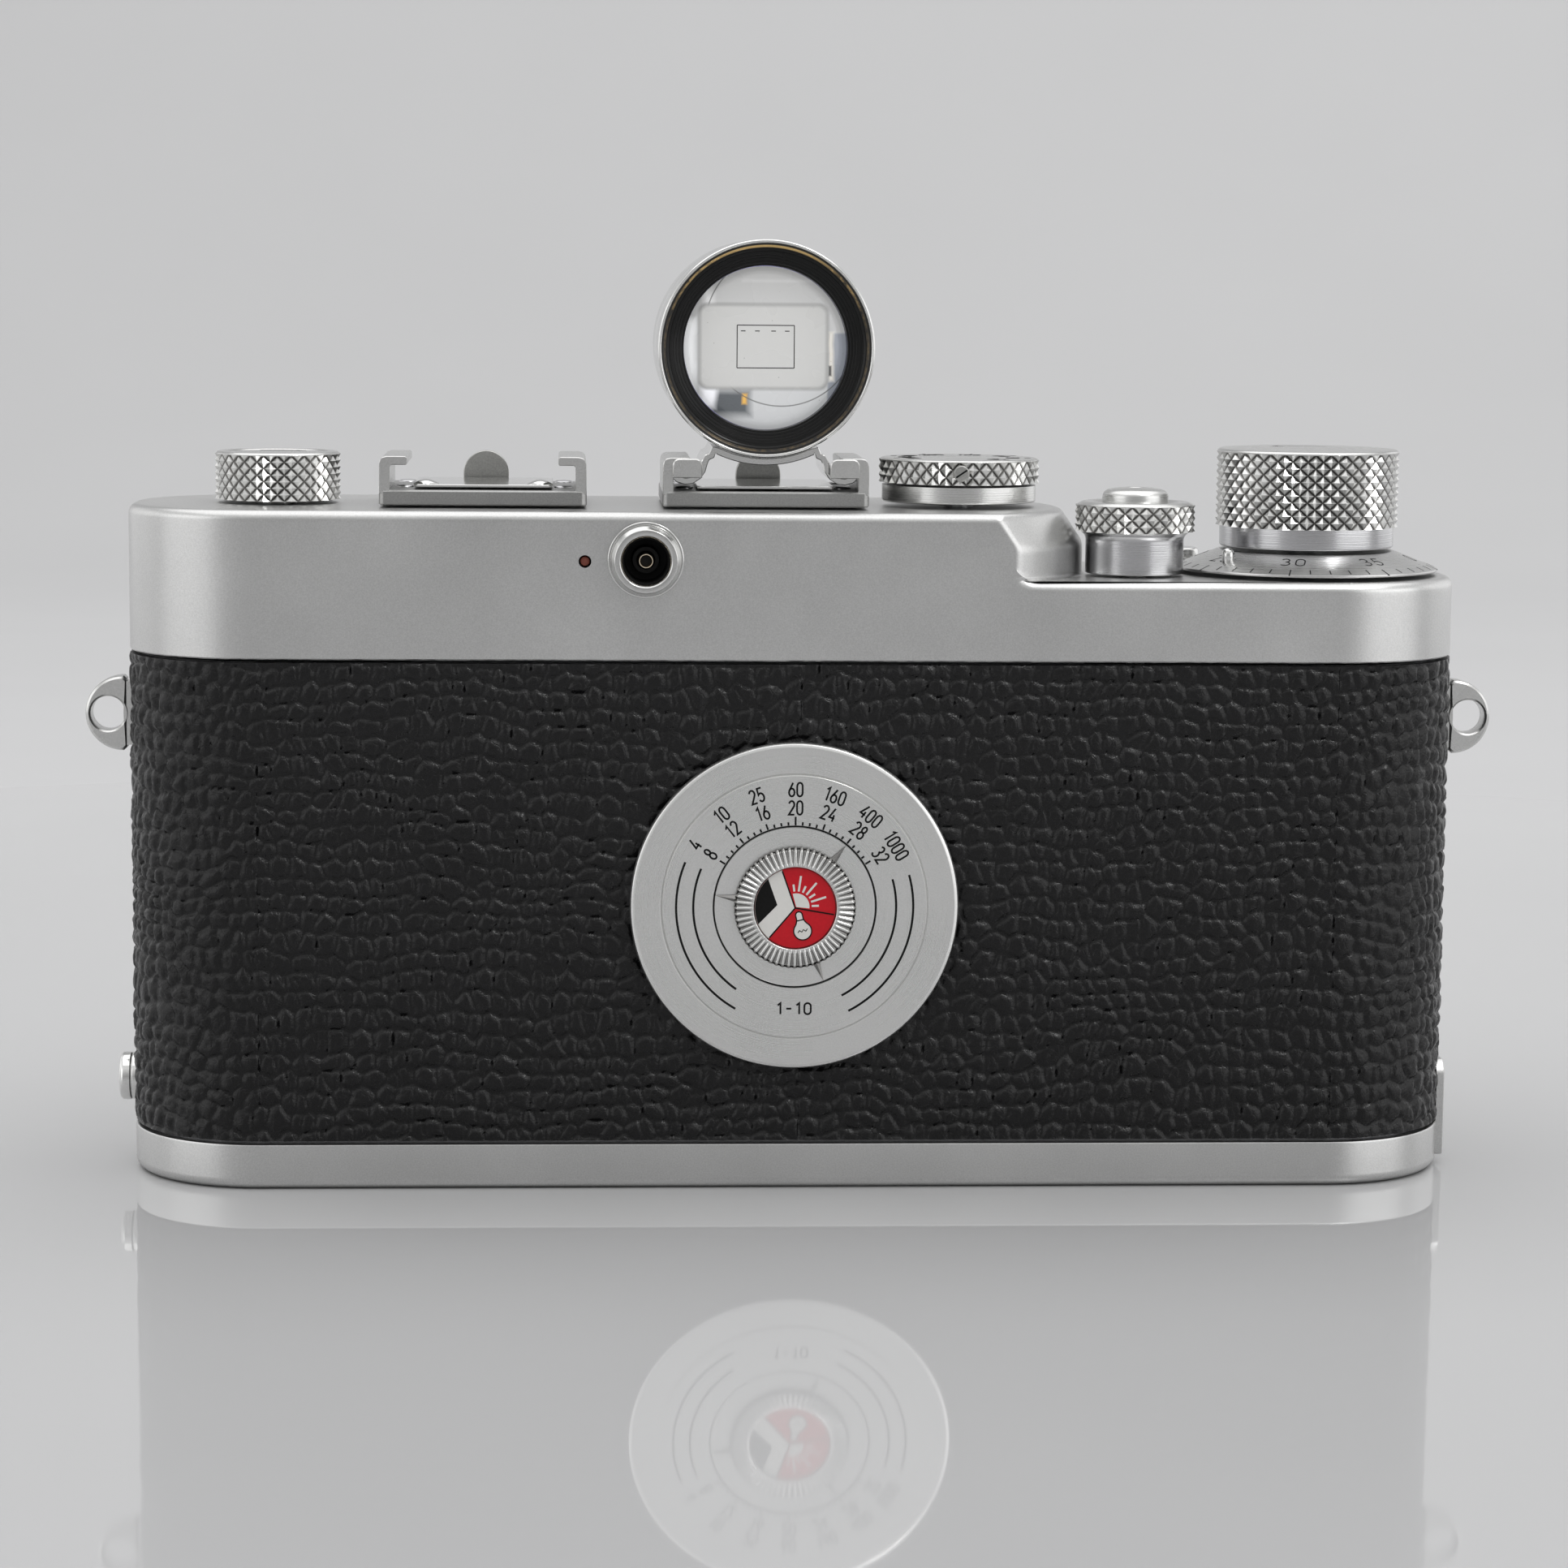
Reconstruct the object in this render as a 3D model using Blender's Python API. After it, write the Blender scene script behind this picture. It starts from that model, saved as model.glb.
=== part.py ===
"""Bottom-loading 35 mm screw-mount camera with a clip-on round finder. Metres, +Z up, lens towards +Y.

Every size below is in millimetres and is scaled to metres when a mesh is made.
"""
import math

import bmesh
import bpy
from mathutils import Vector

MM = 0.001
GAP = 0.3                      # clearance kept between neighbouring pieces

# body outline: half width, half depth and plan corner radius
COVER = (66.5, 14.5, 13.4)
LEATHER = (66.65, 14.7, 13.6)
LEATHER_IN = (65.8, 13.85, 12.75)
SHELL = (65.5, 13.55, 12.45)
SHELL_IN = (64.65, 12.7, 11.6)
PLATE = (66.45, 14.45, 13.35)

# heights
PLATE_TOP = 4.55
LEATHER_LOW, LEATHER_TOP = 4.9, 52.2
COVER_LOW = 52.5
LOW_DECK, HIGH_DECK = 60.4, 67.0
COVER_WALL = 1.0
KNEE = 63.4                    # height where the sloped step wall turns vertical
NOSE_LOW, NOSE_TOP = (5.7, 23.3), (3.4, 23.3)    # the nose's centre x and radius, foot and top

# axes of the round pieces (x, y)
WIND = (51.95, 0.0)
RELEASE = (33.8, -4.7)
SPEED = (16.5, 0.0)
REWIND = (-51.8, 0.0)
LEVER = (40.6, 10.6)
KEY = (-48.0, 0.0)
BUSH = (50.0, 0.0)
# axes that run front to back (x, z)
LENS = (-3.4, 28.5)
MEMO = (-0.6, 28.55)
SYNC = (-15.3, 62.4)
INDEX = (-21.2, 62.2)
SLOW = (30.0, 41.0)
FINDER = (-3.4, 82.75)
SHOE_LEFT_X, SHOE_RIGHT_X = -31.2, -3.4
STUD_Z, HOOK_Z = 8.65, 5.45
TILT = (66.2, 11.0)            # hinge of the opening body (x, z)
LUG_Z = 45.8


# ---------------------------------------------------------------- materials
def material(name, color, metallic, rough):
    mat = bpy.data.materials.new(name)
    mat.use_nodes = True
    bsdf = mat.node_tree.nodes["Principled BSDF"]
    bsdf.inputs["Base Color"].default_value = (*color, 1.0)
    bsdf.inputs["Metallic"].default_value = metallic
    bsdf.inputs["Roughness"].default_value = rough
    mat.diffuse_color = (*color, 1.0)
    return mat


LOOKS = {
    "satin": ((0.72, 0.72, 0.71), 1.0, 0.35),
    "chrome": ((0.82, 0.82, 0.82), 1.0, 0.12),
    "steel": ((0.60, 0.60, 0.61), 1.0, 0.30),
    "brass": ((0.75, 0.58, 0.28), 1.0, 0.30),
    "alloy": ((0.55, 0.55, 0.56), 1.0, 0.50),
    "black": ((0.02, 0.02, 0.02), 0.2, 0.40),
    "leather": ((0.015, 0.015, 0.016), 0.0, 0.55),
    "cloth": ((0.03, 0.03, 0.03), 0.0, 0.90),
    "red": ((0.60, 0.03, 0.05), 0.0, 0.40),
    "glass": ((0.80, 0.84, 0.88), 0.0, 0.05),
}


# ---------------------------------------------------------------- mesh helpers
def make(name, verts, faces, look, origin=(0, 0, 0), smooth=True):
    """One closed mesh object; the vertices are given in the shared frame, in millimetres."""
    mesh = bpy.data.meshes.new(name)
    base = Vector(origin)
    mesh.from_pydata([tuple((Vector(v) - base) * MM) for v in verts], [], faces)
    bm = bmesh.new()
    bm.from_mesh(mesh)
    bmesh.ops.recalc_face_normals(bm, faces=bm.faces)
    bm.to_mesh(mesh)
    bm.free()
    for poly in mesh.polygons:
        poly.use_smooth = smooth
    obj = bpy.data.objects.new(name, mesh)
    bpy.context.scene.collection.objects.link(obj)
    obj.location = base * MM
    obj.data.materials.append(material(name, *LOOKS[look]))
    return obj


def loft(rings, closed=False):
    """Skin equal-length rings; closed joins the last ring to the first, otherwise both ends are capped."""
    n = len(rings[0])
    verts = [p for ring in rings for p in ring]
    faces = []
    last = len(rings) if closed else len(rings) - 1
    for k in range(last):
        a, b = k * n, ((k + 1) % len(rings)) * n
        for i in range(n):
            j = (i + 1) % n
            faces.append((a + i, a + j, b + j, b + i))
    if not closed:
        faces.append(tuple(range(n))[::-1])
        faces.append(tuple((len(rings) - 1) * n + i for i in range(n)))
    return verts, faces


def rounded(shape, inset=0.0, steps=5):
    """Rounded rectangle (half width, half depth, radius) as a counter-clockwise list of (x, y)."""
    hw, hd, r = (s - inset for s in shape)
    pts = []
    for sx, sy, a0 in ((1, -1, -90), (1, 1, 0), (-1, 1, 90), (-1, -1, 180)):
        for k in range(steps + 1):
            a = math.radians(a0 + 90.0 * k / steps)
            pts.append((sx * (hw - r) + r * math.cos(a), sy * (hd - r) + r * math.sin(a)))
    return pts


def at(outline, z):
    return [(x, y, z) for x, y in outline]


def spin_points(axis, centre, r, h, segs, turn=0.0):
    ring = []
    for k in range(segs):
        a = 2 * math.pi * (k + turn) / segs
        u, v = r * math.cos(a), r * math.sin(a)
        if axis == "z":
            ring.append((centre[0] + u, centre[1] + v, h))
        elif axis == "y":
            ring.append((centre[0] + u, h, centre[1] + v))
        else:
            ring.append((h, centre[0] + u, centre[1] + v))
    return ring


def revolved(axis, centre, profile, segs):
    """Turn a closed (radius, height) profile about an axis; points at radius 0 become poles."""
    verts, start = [], []
    for r, h in profile:
        start.append((len(verts), r > 1e-6))
        if r > 1e-6:
            verts += spin_points(axis, centre, r, h, segs)
        else:
            verts += spin_points(axis, centre, 0.0, h, 1)
    faces = []
    for k in range(len(profile)):
        (a, ring_a), (b, ring_b) = start[k], start[(k + 1) % len(profile)]
        for i in range(segs if ring_a or ring_b else 0):
            j = (i + 1) % segs
            if ring_a and ring_b:
                faces.append((a + i, a + j, b + j, b + i))
            elif ring_a:
                faces.append((a + i, a + j, b))
            else:
                faces.append((a, b + j, b + i))
    return verts, faces


def turned(name, axis, centre, profile, look, segs=24, origin=(0, 0, 0)):
    return make(name, *revolved(axis, centre, profile, segs), look, origin)


def cylinder(axis, centre, r, h0, h1, segs=18):
    return revolved(axis, centre, [(0, h0), (r, h0), (r, h1), (0, h1)], segs)


def box(x0, x1, y0, y1, z0, z1):
    return loft([[(x0, y0, z), (x1, y0, z), (x1, y1, z), (x0, y1, z)] for z in (z0, z1)])


def extruded(outline, y0, y1):
    """Extrude an (x, z) outline along Y."""
    return loft([[(x, y, z) for x, z in outline] for y in (y0, y1)])


def combine(obj, shapes, mode="DIFFERENCE"):
    """Cut shapes from, or add them to, an object with exact booleans and bake the result."""
    for verts, faces in shapes:
        tool = make("tool", verts, faces, "steel")
        mod = obj.modifiers.new("bool", "BOOLEAN")
        mod.operation = mode
        mod.solver = "EXACT"
        mod.object = tool
        depsgraph = bpy.context.evaluated_depsgraph_get()
        baked = bpy.data.meshes.new_from_object(obj.evaluated_get(depsgraph))
        obj.modifiers.clear()
        old, name = obj.data, obj.name
        obj.data = baked
        bpy.data.meshes.remove(old)
        baked.name = name
        bpy.data.objects.remove(tool, do_unlink=True)
    bm = bmesh.new()
    bm.from_mesh(obj.data)
    bmesh.ops.remove_doubles(bm, verts=bm.verts, dist=2e-6)
    bmesh.ops.dissolve_degenerate(bm, dist=1e-6, edges=bm.edges)
    bm.to_mesh(obj.data)
    bm.free()
    return obj


def ribbon(path, thick):
    """Closed outline of a bent strip: the path offset to both sides by half its thickness."""
    left, right = [], []
    for k, (x, z) in enumerate(path):
        x0, z0 = path[max(k - 1, 0)]
        x1, z1 = path[min(k + 1, len(path) - 1)]
        length = math.hypot(x1 - x0, z1 - z0)
        nx, nz = -(z1 - z0) / length * thick / 2, (x1 - x0) / length * thick / 2
        left.append((x + nx, z + nz))
        right.append((x - nx, z - nz))
    return left + right[::-1]


def gear_outline(centre, pitch_r, teeth, phase):
    pts = []
    for k in range(teeth):
        for part, r in ((-0.26, -0.55), (-0.13, 0.45), (0.13, 0.45), (0.26, -0.55)):
            a = 2 * math.pi * (k + phase + part) / teeth
            pts.append((centre[0] + (pitch_r + r) * math.cos(a), centre[1] + (pitch_r + r) * math.sin(a)))
    return pts


# ---------------------------------------------------------------- base
def build_base():
    inner = rounded(PLATE, 0.6)
    verts, faces = loft([
        at(rounded(PLATE, 1.1), 0.0), at(rounded(PLATE, 0.35), 0.3), at(rounded(PLATE), 1.1),
        at(rounded(PLATE), PLATE_TOP), at(inner, PLATE_TOP), at(inner, 1.2)])
    plate = make("base_plate", verts, faces, "satin")
    combine(plate, [box(65.87, 66.85, -4.5, 4.5, 0.9, 10.8)], "UNION")
    combine(plate, [cylinder("x", (0, HOOK_Z), 2.7, 64, 69), cylinder("z", KEY, 9.3, -1, 3, 24),
                    cylinder("z", BUSH, 5.3, -1, 3, 18)])
    turned("tripod_bush", "z", BUSH, [
        (3.2, 0.15), (5.0, 0.15), (5.0, 1.5), (7.0, 1.5), (7.0, 2.3), (5.0, 2.3), (5.0, 5.6),
        (0, 5.6), (0, 5.0), (3.2, 5.0)], "steel", 18)
    key = turned("lock_key", "z", KEY, [
        (0, 0.3), (9.0, 0.3), (9.0, 1.55), (10.5, 1.55), (10.5, 2.3), (0, 2.3)], "satin", 24,
        (*KEY, 0.3))
    groove = revolved("z", KEY, [(5.6, 0.0), (7.6, 0.0), (7.6, 1.25), (5.6, 1.25)], 24)
    combine(key, [groove])
    combine(key, [box(KEY[0] - 3.6, KEY[0] + 3.6, -10.2, -2.0, 2.0, 3.4)], "UNION")
    bail = [[(KEY[0] + r * math.cos(a), r * math.sin(a), z) for r, z in
             ((6.2, 0.45), (7.0, 0.45), (7.0, 1.0), (6.2, 1.0))]
            for a in (math.pi * k / 14 for k in range(15))]
    make("lock_bail", *loft(bail), "chrome", (*KEY, 0.72))


# ---------------------------------------------------------------- body
def lug_outline(side, steps=20):
    """Eyelet seen from behind: outer D shape and the eccentric strap hole, sampled about the hole."""
    hole_x, ring_x, flat_x = side * 68.85, side * 67.35, side * 67.0
    outer, inner = [], []
    for k in range(steps):
        a = 2 * math.pi * k / steps
        c, s = math.cos(a), math.sin(a)
        d = hole_x - ring_x
        reach = -d * c + math.sqrt(max((d * c) ** 2 - d * d + 3.75 ** 2, 0.0))
        if side * c < 0:
            reach = min(reach, (flat_x - hole_x) / c)
        outer.append((hole_x + reach * c, LUG_Z + reach * s))
        inner.append((hole_x + 1.7 * c, LUG_Z + 1.7 * s))
    return outer, inner


def build_lug(name, side):
    outer, inner = lug_outline(side)
    rings = [[(x, y, z) for x, z in ring] for ring, y in
             ((outer, -1.3), (outer, 1.3), (inner, 1.3), (inner, -1.3))]
    lug = make(name, *loft(rings, closed=True), "satin")
    x0, x1 = sorted((side * 65.8, side * 67.1))
    combine(lug, [box(x0, x1, -1.0, 1.0, LUG_Z - 3.2, LUG_Z + 3.2)], "UNION")


def build_body():
    rings = [at(rounded(SHELL), 1.6), at(rounded(SHELL), 52.2),
             at(rounded(SHELL_IN), 52.2), at(rounded(SHELL_IN), 1.6)]
    shell = make("body_shell", *loft(rings, closed=True), "alloy")
    combine(shell, [cylinder("y", LENS, 19.6, 10, 16, 28)])
    rings = [at(rounded(LEATHER), LEATHER_LOW), at(rounded(LEATHER), LEATHER_TOP),
             at(rounded(LEATHER_IN), LEATHER_TOP), at(rounded(LEATHER_IN), LEATHER_LOW)]
    leather = make("leather_cover", *loft(rings, closed=True), "leather")
    combine(leather, [
        cylinder("y", LENS, 23.25, 10, 16, 28), cylinder("y", SLOW, 3.3, 10, 16, 16),
        box(-68, -64, -1.65, 1.65, LUG_Z - 4.1, LUG_Z + 4.1),
        box(64, 68, -1.65, 1.65, LUG_Z - 4.1, LUG_Z + 4.1),
        cylinder("x", (0, STUD_Z), 2.75, -68, -64, 16), box(64, 68, -4.9, 4.9, 3.0, 11.4)])
    build_lug("strap_lug_left", -1)
    build_lug("strap_lug_right", 1)
    turned("side_stud", "x", (0, STUD_Z), [
        (0, -68.1), (2.1, -68.1), (2.43, -67.8), (2.43, -65.8), (0, -65.8)], "chrome", 16)
    turned("hook_stud", "x", (0, HOOK_Z), [
        (0, 67.6), (1.4, 67.5), (2.2, 67.1), (2.2, 65.8), (0, 65.8)], "chrome", 16)
    crate = make("shutter_crate", *box(-38.2, 28.2, -10.4, 12.3, 5.0, 54.5), "alloy", smooth=False)
    combine(crate, [box(-37.0, 27.0, -9.2, 11.1, 4.0, 53.3), box(-21.4, 14.6, -12, -8, 16.5, 40.5),
                    cylinder("y", LENS, 16.6, 9, 14, 24), cylinder("z", SPEED, 2.1, 52, 56, 14)])
    make("pressure_plate", *box(-25, 18, -12.3, -11.5, 12, 45), "steel", smooth=False)
    make("shutter_curtain", *box(-28.6, 13.5, -8.7, -8.3, 13.5, 43.5), "cloth", smooth=False)
    turned("lens_mount_ring", "y", LENS, [
        (19.6, 13.85), (22.9, 13.85), (22.9, 15.9), (22.5, 16.2), (19.6, 16.2)], "chrome", 28)


def full_half(inset, steps=5):
    """Right part of the cover outline, from the step on the near side round to the far side."""
    hw, hd, r = (s - inset for s in COVER)
    pts = [(25.6, -hd)]
    for sy, a0 in ((-1, -90), (1, 0)):
        for k in range(steps + 1):
            a = math.radians(a0 + 90.0 * k / steps)
            pts.append((hw - r + r * math.cos(a), sy * (hd - r) + r * math.sin(a)))
    return pts + [(25.6, hd)]


def nose_half(cx, radius, inset, grow, flare=0.0, steps=5):
    """Rounded nose that ends the high deck, with as many points as full_half; flare widens its sides."""
    hd, base = COVER[1] - inset, radius + grow
    end = math.asin(min(hd / (base + flare), 1.0))
    count = 2 * steps + 3
    pts = []
    for k in range(count + 1):
        side = 2.0 * k / count - 1.0
        r = base + flare * side * side
        pts.append((cx + r * math.cos(end * side), r * math.sin(end * side)))
    return pts


def left_half(inset, start, steps=5):
    """The rest of the outline; start is where it meets the right part on the long sides."""
    hw, hd, r = (s - inset for s in COVER)
    pts = [(start, hd)]
    for sy, a0 in ((1, 90), (-1, 180)):
        for k in range(steps + 1):
            a = math.radians(a0 + 90.0 * k / steps)
            pts.append((-(hw - r) + r * math.cos(a), sy * (hd - r) + r * math.sin(a)))
    return pts + [(start, -hd)]


def cover_ring(right, right_z, left_inset, left_z):
    return at(right, right_z) + at(left_half(left_inset, right[0][0] - 0.8), left_z)


def build_cover():
    low, top = NOSE_LOW, NOSE_TOP
    outer = [
        cover_ring(full_half(0), COVER_LOW, 0, COVER_LOW),
        cover_ring(full_half(0), 59.5, 0, 59.4),
        cover_ring(full_half(0.27), 60.13, 0, 60.0),
        cover_ring(full_half(0.9), LOW_DECK, 0, 60.6),
        cover_ring(nose_half(*low, 0.9, 0.05, 0.6), LOW_DECK, 0, 61.2),
        cover_ring(nose_half(*low, 0.4, 0.0, 0.2), 60.95, 0, 61.7),
        cover_ring(nose_half(*low, 0, 0), 62.2, 0, 62.3),
        cover_ring(nose_half(*low, 0, 0), KNEE, 0, KNEE),
        cover_ring(nose_half(*top, 0, 0), 66.1, 0, 66.1),
        cover_ring(nose_half(*top, 0.27, -0.27), 66.73, 0.27, 66.73),
        cover_ring(nose_half(*top, 0.9, -0.9), HIGH_DECK, 0.9, HIGH_DECK)]
    w = COVER_WALL
    inner = [
        cover_ring(nose_half(*top, w, -w), HIGH_DECK - w, w, HIGH_DECK - w),
        cover_ring(nose_half(*low, w, -w), KNEE - 0.4, w, KNEE - 0.4),
        cover_ring(nose_half(*low, w, -w), LOW_DECK - w, w, LOW_DECK - w + 0.6),
        cover_ring(full_half(w), LOW_DECK - w - 0.05, w, LOW_DECK - w - 0.05),
        cover_ring(full_half(w), COVER_LOW, w, COVER_LOW)]
    rings = outer + inner
    n = len(rings[0])
    verts, faces = loft(rings, closed=True)
    k = len(outer) - 1                         # open the skin between the deck's top and underside
    faces = [f for i, f in enumerate(faces) if not k * n <= i < (k + 1) * n]
    faces.append(tuple(k * n + i for i in range(n)))
    faces.append(tuple((k + 1) * n + i for i in range(n)))
    cover = make("top_cover", verts, faces, "satin")
    combine(cover, [
        cylinder("z", REWIND, 2.6, 60, 70, 14), cylinder("z", SPEED, 2.1, 60, 70, 14),
        cylinder("z", RELEASE, 2.2, 55, 64, 14), cylinder("z", WIND, 2.8, 55, 64, 14),
        cylinder("z", LEVER, 1.3, 55, 64, 10), cylinder("y", SYNC, 2.95, -17, -12, 18),
        cylinder("y", INDEX, 0.8, -17, -12, 8)])
    turned("sync_socket", "y", SYNC, [
        (2.23, -12.4), (2.65, -12.4), (2.65, -14.7), (3.73, -14.7), (3.73, -15.2), (3.3, -15.4),
        (3.3, -16.3), (2.62, -16.5), (2.62, -17.3), (2.4, -17.4), (2.23, -17.3)], "chrome", 18)
    turned("sync_pin", "y", SYNC, [
        (0, -12.5), (1.95, -12.5), (1.95, -13.2), (0.75, -13.2), (0.75, -16.4), (0.52, -16.4),
        (0.52, -14.5), (0, -14.5)], "black", 14)
    turned("index_screw", "y", INDEX, [
        (0, -13.0), (0.5, -13.0), (0.5, -14.35), (0, -14.35)], "red", 10)


# ---------------------------------------------------------------- accessory shoes and finder
def build_shoe(side, cx):
    base = make("shoe_" + side, *box(cx - 10.17, cx + 10.17, -9.4, 9.0, 67.25, 68.75), "satin",
                smooth=False)
    rails = []
    for s in (-1, 1):
        pts = [(cx + s * x, z) for x, z in
               ((10.15, 68.0), (10.15, 71.5), (9.6, 72.05), (7.4, 72.05), (7.4, 71.2), (9.1, 71.2), (9.1, 68.0))]
        rails.append(extruded(pts, -9.35, 4.0))
    tongue = [(cx - 2.3, 68.0), (cx + 2.3, 68.0)] + [
        (cx + 2.3 * math.cos(math.pi * k / 8), 69.6 + 2.3 * math.sin(math.pi * k / 8)) for k in range(9)]
    combine(base, rails + [extruded(tongue, 7.9, 8.8)], "UNION")
    leaf = make("shoe_spring_" + side, *box(cx - 6.8, cx + 6.8, -8.2, 6.0, 69.0, 69.25), "chrome",
                smooth=False)
    domes = [revolved("z", (cx + s * 5.6, -6.9), [
        (0, 69.1), (1.15, 69.1), (1.0, 69.45), (0.5, 69.65), (0, 69.7)], 8) for s in (-1, 1)]
    if side == "left":
        combine(leaf, domes, "UNION")


def build_finder():
    cx, cz = FINDER
    home = (cx, 0, 70)
    side = [(8.5, 70.7), (8.35, 70.1), (7.7, 69.75), (6.9, 69.85), (6.2, 70.35), (5.85, 71.1), (5.75, 71.9)]
    path = [(cx - x, z) for x, z in side]
    for k in range(13):
        a = math.radians(-90 + 30.0 * (k - 6) / 6)
        path.append((cx + 11.3 * math.cos(a), cz + 11.3 * math.sin(a)))
    path += [(cx + x, z) for x, z in side[::-1]]
    make("finder_foot", *extruded(ribbon(path, 0.7), -7.2, 6.0), "chrome", home)
    turned("finder_barrel", "y", FINDER, [
        (10.25, -8.4), (10.4, -8.6), (10.7, -8.3), (10.7, 14.5), (10.0, 16.5), (9.3, 16.5), (9.3, 11.5),
        (9.9, 11.0), (9.9, -2.6), (10.25, -2.6)], "chrome", 28, home)
    turned("finder_eye_ring", "y", FINDER, [
        (9.95, -8.2), (9.95, -3.0), (8.1, -3.0), (8.1, -6.6), (8.6, -6.9), (8.6, -7.5), (9.1, -7.7),
        (9.3, -8.2)], "black", 28, home)
    turned("finder_eye_glass", "y", FINDER, [
        (0, -3.4), (7.8, -3.4), (7.8, -5.4), (5.5, -5.9), (2.8, -6.2), (0, -6.3)], "glass", 24, home)
    turned("finder_front_glass", "y", FINDER, [
        (0, 12.2), (9.0, 12.2), (9.0, 14.2), (6.0, 14.8), (3.0, 15.1), (0, 15.2)], "glass", 24, home)


# ---------------------------------------------------------------- knobs and dials
def build_wind():
    turned("wind_knob", "z", WIND, [
        (0, 72.95), (8.8, 72.95), (9.2, 72.6), (9.2, 65.3), (8.7, 65.0), (8.7, 63.15), (2.5, 63.15),
        (2.5, 66.3), (0, 66.3)], "satin", 28, (*WIND, 63.0))
    turned("wind_shaft", "z", WIND, [(0, 46.5), (2.2, 46.5), (2.2, 66.0), (0, 66.0)], "steel", 14,
           (*WIND, 63.0))
    dial = turned("counter_dial", "z", WIND, [
        (2.5, 60.75), (13.25, 60.75), (13.25, 61.05), (8.9, 62.75), (2.5, 62.75)], "satin", 28,
        (*WIND, 60.7))
    a = math.radians(-145.0)
    pin = (WIND[0] + 10.9 * math.cos(a), WIND[1] + 10.9 * math.sin(a))
    combine(dial, [revolved("z", pin, [
        (0, 61.2), (0.6, 61.2), (0.6, 62.9), (0.35, 63.2), (0, 63.3)], 8)], "UNION")
    turned("take_up_spool", "z", WIND, [
        (0, 7.0), (4.0, 7.0), (4.0, 9.0), (11.2, 9.0), (11.2, 10.0), (5.6, 10.0), (5.6, 44.5),
        (11.2, 44.5), (11.2, 45.5), (4.0, 45.5), (4.0, 46.2), (0, 46.2)], "black", 18, (*WIND, 9))
    phase = 15 * heading(RELEASE, WIND) + 0.5
    build_gear("wind_gear", WIND, 10.7, 20 * heading(WIND, RELEASE), 2.5, 20)
    build_gear("sprocket_gear", RELEASE, 8.02, phase, 1.8, 15)
    offset = 15 * heading(RELEASE, SPEED) - phase
    build_gear("drum_gear", SPEED, 9.88, 18 * heading(SPEED, RELEASE) + offset - 0.5, 1.8, 18)


def heading(a, b):
    """Direction from one axis to another, in turns."""
    return math.atan2(b[1] - a[1], b[0] - a[0]) / (2 * math.pi)


def build_gear(name, centre, pitch_r, phase, bore, teeth):
    outline = gear_outline(centre, pitch_r, teeth, phase)
    hole = [(centre[0] + bore * math.cos(math.atan2(y - centre[1], x - centre[0])),
             centre[1] + bore * math.sin(math.atan2(y - centre[1], x - centre[0]))) for x, y in outline]
    rings = [at(outline, 56.1), at(outline, 57.7), at(hole, 57.7), at(hole, 56.1)]
    make(name, *loft(rings, closed=True), "brass", (*centre, 56.9), smooth=False)


def build_release():
    turned("release_collar", "z", RELEASE, [
        (2.2, 60.7), (4.95, 60.7), (4.95, 64.4), (5.6, 64.6), (6.0, 65.0), (6.0, 67.4), (5.6, 67.8),
        (3.65, 67.8), (3.65, 62.0), (2.2, 62.0)], "satin", 24)
    turned("release_button", "z", RELEASE, [
        (0, 59.7), (1.6, 59.7), (1.6, 66.4), (3.3, 66.4), (3.3, 68.6), (2.9, 69.1), (1.2, 69.3),
        (0, 69.1)], "chrome", 18, (*RELEASE, 66.4))
    turns, steps, z0, z1 = 4.0, 9, 62.5, 65.9
    rings = []
    for k in range(int(turns * steps) + 1):
        a = 2 * math.pi * k / steps
        z = z0 + (z1 - z0) * k / (turns * steps)
        rings.append([(RELEASE[0] + (2.6 + 0.26 * math.cos(b)) * math.cos(a),
                       RELEASE[1] + (2.6 + 0.26 * math.cos(b)) * math.sin(a), z + 0.26 * math.sin(b))
                      for b in (2 * math.pi * i / 4 for i in range(4))])
    make("release_spring", *loft(rings), "steel", (*RELEASE, 66.4))
    rings = []
    for z, toothed in ((9, 0), (12.0, 0), (12.3, 1), (13.3, 1), (13.6, 0), (41.4, 0), (41.7, 1),
                       (42.7, 1), (43.0, 0), (46, 0)):
        rings.append([(RELEASE[0] + r * math.cos(a), RELEASE[1] + r * math.sin(a), z) for r, a in
                      ((5.1 if toothed and i % 4 == 0 else 4.2, 2 * math.pi * i / 32)
                       for i in range(32))])
    sprocket = make("sprocket", *loft(rings), "satin", (*RELEASE, 30))
    combine(sprocket, [cylinder("z", RELEASE, 1.5, 45, 58.2, 14)], "UNION")


def build_speed():
    drum = [(0, 8.0), (4.2, 8.0), (4.2, 50.5), (1.5, 50.5), (1.5, 68.6), (0, 68.6)]
    turned("shutter_drum", "z", SPEED, drum, "steel", 18, (*SPEED, 30))
    turned("speed_collar", "z", SPEED, [
        (1.8, 67.55), (7.75, 67.55), (7.75, 69.15), (1.8, 69.15)], "satin", 24, (*SPEED, 67.5))
    dial = turned("speed_dial", "z", SPEED, [
        (0, 69.35), (8.0, 69.35), (8.1, 69.5), (8.1, 71.4), (7.7, 71.85), (0, 71.85)], "satin", 28,
        (*SPEED, 69.3))
    spot = (SPEED[0] - 0.5, 70.6)
    combine(dial, [cylinder("y", spot, 0.85, -9, -7.0, 10)])
    turned("dial_screw", "y", spot, [(0, -8.15), (0.6, -8.15), (0.6, -7.25), (0, -7.25)], "steel", 10,
           (*SPEED, 69.3))


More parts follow.
